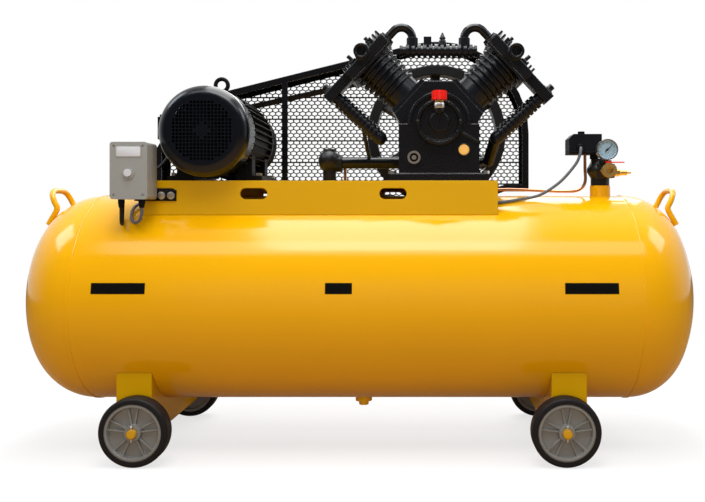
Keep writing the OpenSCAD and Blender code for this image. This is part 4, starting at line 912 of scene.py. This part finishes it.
@dataclass
class LeadSet:
    """Electric leads and the copper line, along the same routes as in the model. Sizes in millimetres."""

    grey_radius: float = 4.2
    black_radius: float = 4.6
    copper_radius: float = 4.5
    tank_radius: float = TANK_RADIUS
    tank_height: float = TANK_HEIGHT
    plate_left: float = -598.0
    plate_right: float = 377.0
    plate_top: float = 748.0
    switch_x: float = 643.0
    switch_z: float = 829.0
    box_x: float = -596.0
    box_z: float = 696.0
    lead_y: float = -244.0
    terminal_x: float = -545.0
    motor_z: float = 879.5
    check_x: float = -113.0
    pipe_y: float = 112.0
    pipe_z: float = 811.0

    def build(self, palette: Palette) -> None:
        """Makes the three lines and the glands.

        Args:
            palette: Finishes to lay on them.
        """
        for name, route, radius, slot, node in (
            ("switch_lead", self.grey_route(), self.grey_radius, Slot.GREY_LEAD, "switch_cable"),
            ("motor_lead", self.black_route(), self.black_radius, Slot.BLACK_LEAD, "motor_cable"),
            ("copper_line", self.copper_route(), self.copper_radius, Slot.COPPER, "unloader_tube"),
        ):
            line = Path(route)
            piece = palette.finish(Sheet.grid(name, line.tube(radius * MM), caps=True), slot, replaces=[node])
        box, side = self.box_x, self.lead_y
        for name, place, axis in (
            ("gland_switch", (self.switch_x - 18, -35.1, self.switch_z + 20), FRONT),
            ("gland_box_left", (box - 27, side, self.box_z - 0.1), (0, 0, -1)),
            ("gland_box_right", (box + 27, side, self.box_z - 0.1), (0, 0, -1)),
            ("gland_motor", (self.terminal_x - 17, -20, self.motor_z - 16.1), (0, 0, -1)),
        ):
            palette.finish(self.gland(name, place, axis), Slot.SWITCH)

    def over_shell(self, y: float, above: float) -> float:
        """Height of the receiver's shell plus a distance, at a place across: axis + sqrt((r + a)^2 - y^2)."""
        return self.tank_height + math.sqrt((self.tank_radius + above) ** 2 - y**2)

    def on_shell(self, x: float, y: float, above: float) -> Point:
        """A point that lies a distance above the receiver's shell."""
        return x, y, self.over_shell(y, above)

    def hang(self, x: float, y: float, z: float) -> Point:
        """A point at a height, or on the receiver's shell where that is higher."""
        return x, y, max(z, self.over_shell(y, 9))

    def grey_route(self) -> list[Point]:
        """From the pressure switch, down to the receiver, under the platform, to the starter box.

        Returns:
            Points in millimetres.
        """
        x, z, left, right = self.switch_x, self.switch_z, self.plate_left, self.plate_right
        box, foot, y, run = self.box_x, self.box_z, self.lead_y, self.switch_x - self.plate_right
        return [
            (x - 18, -48, z + 20), (x - 19, -62, z + 12), (x - 24, -68, z - 8), (x - 37, -68, z - 34),
            self.on_shell(right + run * 0.695, -75, 47), self.on_shell(right + run * 0.477, -85, 14),
            self.on_shell(right + run * 0.259, -100, 6.6), self.on_shell(right + run * 0.02, -120, 6),
            *(self.on_shell(place, -126, 6) for place in (right - 80, 150, 0, -150, -300, -430, -500, left + 60)),
            self.on_shell(left + 18, -127, 7), self.on_shell(left - 8, -133, 9), self.on_shell(left - 21, -152, 9),
            self.on_shell(left - 21, -177, 8), self.on_shell(left - 11, -201, 9), self.hang(box + 4, y + 22, foot - 62),
            self.hang(box + 20, y + 6, foot - 54), (box + 27, y, foot - 38), (box + 27, y, foot - 20),
        ]

    def black_route(self) -> list[Point]:
        """From the starter box, round the platform's end, up to the motor's terminal box.

        Returns:
            Points in millimetres.
        """
        box, foot, y, left = self.box_x, self.box_z, self.lead_y, self.plate_left
        x, z = self.terminal_x, self.motor_z
        return [
            (box - 27, y, foot - 20), (box - 27, y, foot - 38), self.hang(box - 30, y + 9, foot - 58),
            self.hang((box + left) / 2 - 35, y + 32, foot - 65), self.hang(left - 41, y + 53, foot - 46),
            (left - 43, y + 62, foot - 16), (left - 44, y + 66, foot + 9), (left - 32, y + 94, foot + 44),
            (left - 2, -118, foot + 69), (x - 29, -92, z - 94), (x - 15, -60, z - 67), (x - 15, -35, z - 46),
            (x - 17, -20, z - 30),
        ]

    def copper_route(self) -> list[Point]:
        """From the discharge pipe, under the platform, along the receiver, up to the pressure switch.

        Returns:
            Points in millimetres.
        """
        check, pipe, deck = self.check_x, self.pipe_y, self.plate_top
        x, top = self.switch_x, self.tank_height + self.tank_radius
        return [
            (check + 48, pipe, self.pipe_z - 18.05), (check + 48, pipe, deck + 10), (check + 50, pipe, deck - 12),
            (check + 74, pipe, deck - 22), (self.plate_right - 120, pipe - 8, deck - 22),
            (self.plate_right + 60, 62, top + 20), (x - 62, 10, top + 14), (x - 14, 2, top + 18),
            (x + 5, 0, top + 40), (x + 5, 0, top + 80), (x + 5, 0, self.switch_z - 0.1),
        ]

    @staticmethod
    def gland(name: str, place: Sequence[float], axis: Sequence[float]) -> Piece:
        """Cable gland: a nut with six flats, a neck and a sleeve that narrows to the lead."""
        nut = [(9, 0, 1), (9, 10, 1), (8.4, 12, 0), (7.4, 12.6, 0), (7.0, 20, 0), (6.2, 22, 0), (4.0, 22.4, 0)]
        return Sheet.turned(name, nut, place, axis)


@dataclass
class BeltDrive:
    """V belts round flywheel and pulley. Sizes in millimetres."""

    wheel: tuple = (217.0, 908.0, 221.0)
    pulley: tuple = (-415.0, 879.5, 113.0)
    planes: tuple = (225.0, 244.0, 263.0)
    half_top: float = 8.26
    half_foot: float = 5.66
    depth: float = 10.0

    def build(self, palette: Palette) -> None:
        """Makes the belts as one piece of three loops.

        Args:
            palette: Finishes to lay on them.
        """
        loop, top, foot, depth = self.loop(), self.half_top, self.half_foot, self.depth
        side = [(0, top - 0.4), (0.5, top - 0.1), (2.2, top - 0.58), (depth - 0.6, foot + 0.1), (depth, foot - 0.6)]
        section = np.concatenate([side, np.array(side[::-1]) * (1, -1)])
        flat = np.zeros(len(loop))
        inward = -np.stack([np.cos(loop[:, 3]), flat, np.sin(loop[:, 3])], 1)
        outer = np.stack([loop[:, 0], flat, loop[:, 1]], 1) - inward * loop[:, 2:3]
        ring = outer[:, None] + section[:, :1] * inward[:, None] + section[:, 1:] * np.array([0.0, 1.0, 0.0])
        belts = [(ring + (0, y, 0)) * MM for y in self.planes]
        palette.finish(Sheet.grid("v_belts", *belts, wrap_rows=True), Slot.BELT, replaces=["drive_belts"])

    def loop(self) -> Array:
        """Outer line of a belt as rows of centre X, centre Z, radius and angle: two arcs that meet in tangents.

        Returns:
            One row a point.
        """
        (x, z, big), (u, w, small) = self.wheel, self.pulley
        run = math.hypot(x - u, z - w)
        tilt = math.atan2(z - w, x - u)
        lean = math.asin((big - small) / run)
        wide = np.linspace(math.pi / 2 + lean + tilt, -math.pi / 2 - lean + tilt, 121)
        tight = np.linspace(1.5 * math.pi - lean + tilt, math.pi / 2 + lean + tilt, 91)
        arcs = ((wide, self.wheel), (tight, self.pulley))
        return np.concatenate([np.column_stack([np.tile(centre, (len(a), 1)), a]) for a, centre in arcs])


@dataclass
class GuardNet:
    """Net of six-sided cells in the back of the belt guard. Sizes in millimetres."""

    pitch: float = 19.7
    rise: float = 11.8
    swing: float = 2.0
    strand: float = 3.2
    link: float = 3.8
    bar: float = 4.6
    bar_rows: int = 6
    thick: float = 1.5
    lean: float = 0.5
    edge: float = 5.0
    back: float = 285.5
    wheel: tuple = (217.0, 908.0, 291.0)
    corner: tuple = (-578.0, 1009.5)
    left: tuple = (-673.0, 853.5, 726.0)
    belly: tuple = ((-440, 726), (153, 680), (308, 680), (435, 726))

    def build(self, palette: Palette) -> None:
        """Makes the panel in place of the coarse one."""
        palette.finish(self.panel(), Slot.MESH, replaces=["guard_mesh"])

    def roof(self) -> list[tuple[float, float]]:
        """Outline above the platform, anticlockwise: a round end about the wheel, a straight roof, a left end.

        Returns:
            X and Z of its corners in millimetres.
        """
        x, z, reach = self.wheel
        side, shoulder, low = self.left
        run = math.hypot(self.corner[0] - x, self.corner[1] - z)
        last = math.atan2(self.corner[1] - z, self.corner[0] - x) - math.acos(reach / run)
        arc = [(x + reach * math.cos(a), z + reach * math.sin(a)) for a in np.linspace(0, last, 13)]
        return [(x + reach, low), *arc, self.corner, (side, shoulder), (side, low)]

    @staticmethod
    def depth_inside(corners: Sequence[tuple], x: Array, z: Array) -> Array:
        """How far points lie inside a convex outline given anticlockwise: the least distance to its edges.

        Args:
            corners: X and Z of the outline's corners.
            x: X of the points.
            z: Z of the points.

        Returns:
            The distances, below 0 for points outside.
        """
        p = np.asarray(corners, float)
        d = np.roll(p, -1, 0) - p
        d /= np.linalg.norm(d, axis=1, keepdims=True)
        return np.min([-d[i, 1] * (x - p[i, 0]) + d[i, 0] * (z - p[i, 1]) for i in range(len(p))], axis=0)

    def panel(self) -> Piece:
        """The panel, cut to the outline: zigzags z = row * rise + (-1)^(row + column) * swing, joined by upright links.

        Returns:
            The panel.
        """
        step = self.pitch / 2
        columns = np.arange(self.left[0], self.wheel[0] + self.wheel[2] + step, step)
        rows = np.arange(self.belly[1][1], self.wheel[1] + self.wheel[2], self.rise)
        row, col = np.meshgrid(np.arange(len(rows)), np.arange(len(columns)), indexing="ij")
        sway = np.where((row + col) % 2 == 0, 1.0, -1.0) * self.swing
        x, z = columns[col], rows[row]
        up = (row + col) % 2 == 0
        level = row % self.bar_rows == 0
        ends = [
            (x, z + sway, x + step, z - sway, np.full(x.shape, self.strand)),
            (x[up], (z + sway)[up], x[up], (z + self.rise - sway)[up], np.full(up.sum(), self.link)),
            (x[level], z[level], x[level] + step, z[level], np.full(level.sum(), self.bar)),
        ]
        x0, z0, x1, z1, wide = (np.concatenate([e[n].ravel() for e in ends]) for n in range(5))
        wide = wide / 2
        hull = [*self.belly, (self.belly[3][0], self.wheel[1]), (self.belly[0][0], self.wheel[1])]
        keep = np.ones(x0.shape, bool)
        for x, z in ((x0, z0), (x1, z1)):
            keep &= np.maximum(self.depth_inside(self.roof(), x, z), self.depth_inside(hull, x, z)) > self.edge
        x0, x1, z0, z1, wide = (v[keep] for v in (x0, x1, z0, z1, wide))
        depths = (self.back, self.back + self.thick - self.lean)
        return Sheet.bars("guard_net", (x0, z0, x1, z1), wide, depths, self.lean, 180)


@dataclass
class GaugeDial:
    """Pale dial with plain ticks inside the gauge. Sizes in millimetres."""

    centre: tuple = (700.0, 840.0)
    face: float = -60.0
    radius: float = 26.6
    ticks: int = 33
    sweep: tuple = (225.0, 270.0)
    tick_starts: tuple = (9.0, 6.4)
    tick_end: float = 3.6
    tick_halves: tuple = (0.42, 0.22)

    def build(self, palette: Palette) -> None:
        """Makes the dial and its ticks."""
        palette.finish(self.disc(), Slot.BUTTON, look=Slot.DIAL)
        palette.finish(self.marks(), Slot.NEEDLE)

    def disc(self) -> Piece:
        """Dial plate: rings of radius r and depth d turned about the gauge's axis, with a turned-up rim.

        Returns:
            The dial.
        """
        edge = self.radius
        plate = [(0.4, -0.02, 0), (edge - 2.4, -0.02, 0), (edge - 1.2, 0.5, 0), (edge, 1.6, 0), (edge, 0, 0)]
        place = (self.centre[0], self.face - 0.12, self.centre[1])
        return Sheet.turned("gauge_dial", plate, place, FRONT, around=72)

    def marks(self) -> Piece:
        """Ticks over 270 degrees, every fourth one longer, each a thin flat bar on the dial.

        Returns:
            The ticks.
        """
        count = np.arange(self.ticks)
        first, sweep = self.sweep
        angle = np.radians(first - sweep * count / (self.ticks - 1))
        long = count % 4 == 0
        reaches = (self.radius - np.where(long, *self.tick_starts), self.radius - self.tick_end)
        ends = [c + reach * turn(angle) for reach in reaches for c, turn in zip(self.centre, (np.cos, np.sin))]
        depths = (self.face - 0.32, self.face - 0.1)
        return Sheet.bars("gauge_ticks", ends, np.where(long, *self.tick_halves), depths, 0.0, 5)


@dataclass
class FrontFittings:
    """Small bright and dark pieces on the front: bolt heads, a black ring painted as the shade in the plug's recess,
    sight rim, filler collar, bare plate.
    """

    bolts: tuple = ((-539.0, -174.1, 707.0), (-513.0, -174.1, 707.0))
    plug: tuple = (148.0, -154.02, 812.0)
    sight: tuple = (285.0, -155.0, 833.0)
    filler: tuple = (217.0, -178.0, 944.0)
    plate: tuple = (-596.0, -268.82, 820.5)
    plate_half: tuple = (31.5, 13.0)
    plate_corner: float = 0.16

    def build(self, palette: Palette) -> None:
        """Makes the pieces.

        Args:
            palette: Finishes to lay on them.
        """
        head = [(10.5, 0, 0), (10.5, 1.5, 0), (9.4, 1.7, 1), (9.4, 5.4, 1), (8.0, 6.4, 0), (3.0, 6.7, 0)]
        for n, place in enumerate(self.bolts):
            palette.finish(Sheet.turned(f"bracket_bolt_{n + 1}", head, place, FRONT), Slot.ZINC)
        # Black ring on the drain plug: painted shade of its recess.
        recess = [(6.6, 0, 0), (6.6, 1, 0), (11.8, 1, 0), (11.8, 0, 0)]
        rim = [(14.6, 0, 0), (14.6, 2.6, 0), (15.4, 3.2, 0), (17.0, 3.2, 0), (17.7, 2.4, 0), (17.7, 0, 0)]
        collar = [(13.05, 0, 0), (13.05, 13.9, 0), (14.2, 13.9, 0), (14.8, 13.0, 0), (14.8, 1.0, 0), (14.2, 0, 0)]
        for name, profile, place, axis, slot in (
            ("plug_shade_ring", recess, self.plug, FRONT, Slot.NEEDLE),
            ("sight_rim", rim, self.sight, FRONT, Slot.FITTING),
            ("filler_collar", collar, self.filler, (0, 0, 1), Slot.ZINC),
        ):
            palette.finish(Sheet.turned(name, profile, place, axis, ring=True), slot)
        palette.finish(self.bare_plate(), Slot.BUTTON)

    def bare_plate(self) -> Piece:
        """Plain plate on the starter box: outline x = w |cos a|^c, z = h |sin a|^c, with an eased edge.

        Returns:
            The plate.
        """
        angle = np.linspace(0, 2 * np.pi, 96, endpoint=False)
        x, z = (np.sign(f) * np.abs(f) ** self.plate_corner for f in (np.cos(angle), np.sin(angle)))
        out, eased = np.array([(0.0, 0.0), (0.35, 0.0), (0.5, 0.35)]).T[:, :, None]
        wide, high = self.plate_half
        points = np.stack([x * (wide - eased), 0 * x - out, z * (high - eased)], -1) + self.plate
        return Sheet.grid("bare_plate", points * MM, caps=True)


@dataclass
class Studio:
    """Floor, light and camera."""

    spot: tuple = (0.1645, -2.4236, 0.6766)
    focal: float = 826.8
    principal: tuple = (420.0, 206.7)
    frame: tuple = (705.0, 502.0)
    sensor: float = 36.0
    floor_half: float = 8.0
    floor_fade: tuple = (1.2, 3.2)
    floor_shown: Colour = (0.3, 0.3, 0.3)
    floor_bounce: Colour = (0.34, 0.20, 0.07)
    glow_all: float = 0.08
    glow_camera: float = 0.64
    mirrored_front: float = 0.08
    ambient: float = 0.25

    def build(self) -> None:
        """Makes floor, lamps, world and camera."""
        self.camera()
        self.floor()
        self.world()
        self.lamp("overhead", (0.0, -0.1, 3.2), (0.0, -0.1, 0.6), (3.8, 1.6), 105)
        self.lamp("slope", (0.0, -1.6, 2.9), (0.0, -0.2, 0.6), (3.4, 0.8), 20)
        self.lamp("front", (0.2, -4.6, 1.2), (0.0, 0.0, 0.6), (4.0, 2.4), 72, mirrored=False)
        self.lamp("right", (2.6, -0.5, 2.9), (0.3, 0.0, 0.8), (1.2, 1.2), 22, (0.82, 0.91, 1.0))
        self.lamp("left", (-2.6, -0.5, 2.9), (-0.3, 0.0, 0.8), (1.2, 1.2), 26, (0.82, 0.91, 1.0))
        self.lamp("back", (0.4, 2.6, 2.4), (0.0, 0.0, 0.8), (3.0, 1.2), 40)

    def camera(self) -> None:
        """Camera level and square to the object, with the photograph's framing in its shift."""
        data = bpy.data.cameras.new("camera")
        data.sensor_width = self.sensor
        data.lens = self.sensor * self.focal / self.frame[0]
        data.shift_x = (self.frame[0] / 2 - self.principal[0]) / self.frame[0]
        data.shift_y = (self.principal[1] - self.frame[1] / 2) / self.frame[0]
        camera = bpy.data.objects.new("camera", data)
        camera.location = self.spot
        camera.rotation_euler = (math.pi / 2, 0, 0)
        bpy.context.scene.collection.objects.link(camera)
        bpy.context.scene.camera = camera

    def floor(self) -> None:
        """Pale floor that thins out with distance: near white to the camera, dimmer and warm as a bounce."""
        corners = np.array([(-1, -1, 0), (-1, 1, 0), (1, 1, 0), (1, -1, 0)]) * self.floor_half
        floor = Sheet.solid("floor", corners - (0, 0, 0.5 * MM), [(0, 1, 2, 3)])
        material = bpy.data.materials.new("floor")
        material.use_nodes = True
        tree = Tree(material.node_tree)
        shader = material.node_tree.nodes["Principled BSDF"]
        shader.inputs["Roughness"].default_value = 0.9
        shader.inputs["Specular IOR Level"].default_value = 0.0
        shader.inputs["Emission Color"].default_value = (1, 1, 1, 1)
        seen = tree.math("MULTIPLY", self._seen(tree), self.glow_all)
        camera = tree.add("LightPath").outputs["Is Camera Ray"]
        bounce = tree.add("Mix", data_type="RGBA")
        bounce.inputs["A"].default_value = (*self.floor_bounce, 1)
        bounce.inputs["B"].default_value = (*self.floor_shown, 1)
        tree.join(camera, bounce.inputs["Factor"])
        tree.join(bounce.outputs["Result"], shader.inputs["Base Color"])
        tree.join(tree.plus(seen, camera, self.glow_camera), shader.inputs["Emission Strength"])
        away = tree.add("VectorMath", operation="LENGTH")
        tree.join(tree.add("TexCoord").outputs["Object"], away.inputs[0])
        thin = tree.math("MULTIPLY", tree.spread(away.outputs["Value"], *self.floor_fade), camera)
        tree.join(tree.math("SUBTRACT", 1.0, thin), shader.inputs["Alpha"])
        floor.data.materials.append(material)

    @staticmethod
    def _seen(tree: Tree) -> Socket:
        """Tells camera, mirror and glass rays from the rest.

        Args:
            tree: The tree that asks.

        Returns:
            A socket of 1 or 0.
        """
        light = tree.add("LightPath")
        ray = tree.math("MAXIMUM", light.outputs["Is Camera Ray"], light.outputs["Is Glossy Ray"])
        return tree.math("MAXIMUM", ray, light.outputs["Is Transmission Ray"])

    def world(self) -> None:
        """White backdrop to the camera and in reflections, darker on the camera's side, dim as a lamp."""
        world = bpy.data.worlds.new("studio")
        bpy.context.scene.world = world
        world.use_nodes = True
        tree = Tree(world.node_tree)
        back = world.node_tree.nodes["Background"]
        back.inputs["Color"].default_value = (1, 1, 1, 1)
        heading = tree.add("SeparateXYZ")
        tree.join(tree.add("TexCoord").outputs["Generated"], heading.inputs[0])
        low = self.mirrored_front
        mirrored = tree.plus(low, tree.spread(heading.outputs["Y"], -0.6, 0.3), 1.0 - low)
        seen = self._seen(tree)
        shown = tree.math("MAXIMUM", mirrored, tree.add("LightPath").outputs["Is Camera Ray"])
        shown = tree.math("MULTIPLY", seen, shown)
        hidden = tree.math("SUBTRACT", 1.0, seen)
        tree.join(tree.plus(shown, hidden, self.ambient), back.inputs["Strength"])

    @staticmethod
    def lamp(
        name: str,
        place: Sequence[float],
        target: Sequence[float],
        size: tuple[float, float],
        power: float,
        colour: Colour = (1.0, 1.0, 1.0),
        mirrored: bool = True,
    ) -> None:
        """Adds an area lamp.

        Args:
            name: Lamp name.
            place: Where it stands.
            target: What it faces.
            size: Its width and height.
            power: Its power in watts.
            colour: Its colour.
            mirrored: Whether it shows in reflections.
        """
        data = bpy.data.lights.new(name, "AREA")
        data.shape = "RECTANGLE"
        data.size, data.size_y = size
        data.energy = power
        data.color = colour
        lamp = bpy.data.objects.new(name, data)
        lamp.visible_glossy = mirrored
        lamp.location = place
        aim = np.asarray(target, float) - np.asarray(place, float)
        flat = math.hypot(aim[0], aim[1])
        lamp.rotation_euler = (math.atan2(flat, -aim[2]), 0, math.atan2(aim[1], aim[0]) - math.pi / 2)
        bpy.context.scene.collection.objects.link(lamp)


def main() -> None:
    """Loads the frame, dresses it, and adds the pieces."""
    logging.basicConfig(level=logging.INFO, format="%(message)s")
    bpy.context.scene.view_settings.view_transform = "Standard"
    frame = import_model()
    Studio().build()
    palette = Palette()
    palette.dress_nodes(frame["nodes"], frame["record"])
    for part in (LeadSet(), Receiver(), BeltDrive(), GuardNet(), GaugeDial(), FrontFittings()):
        part.build(palette)


if __name__ == "__main__":
    main()
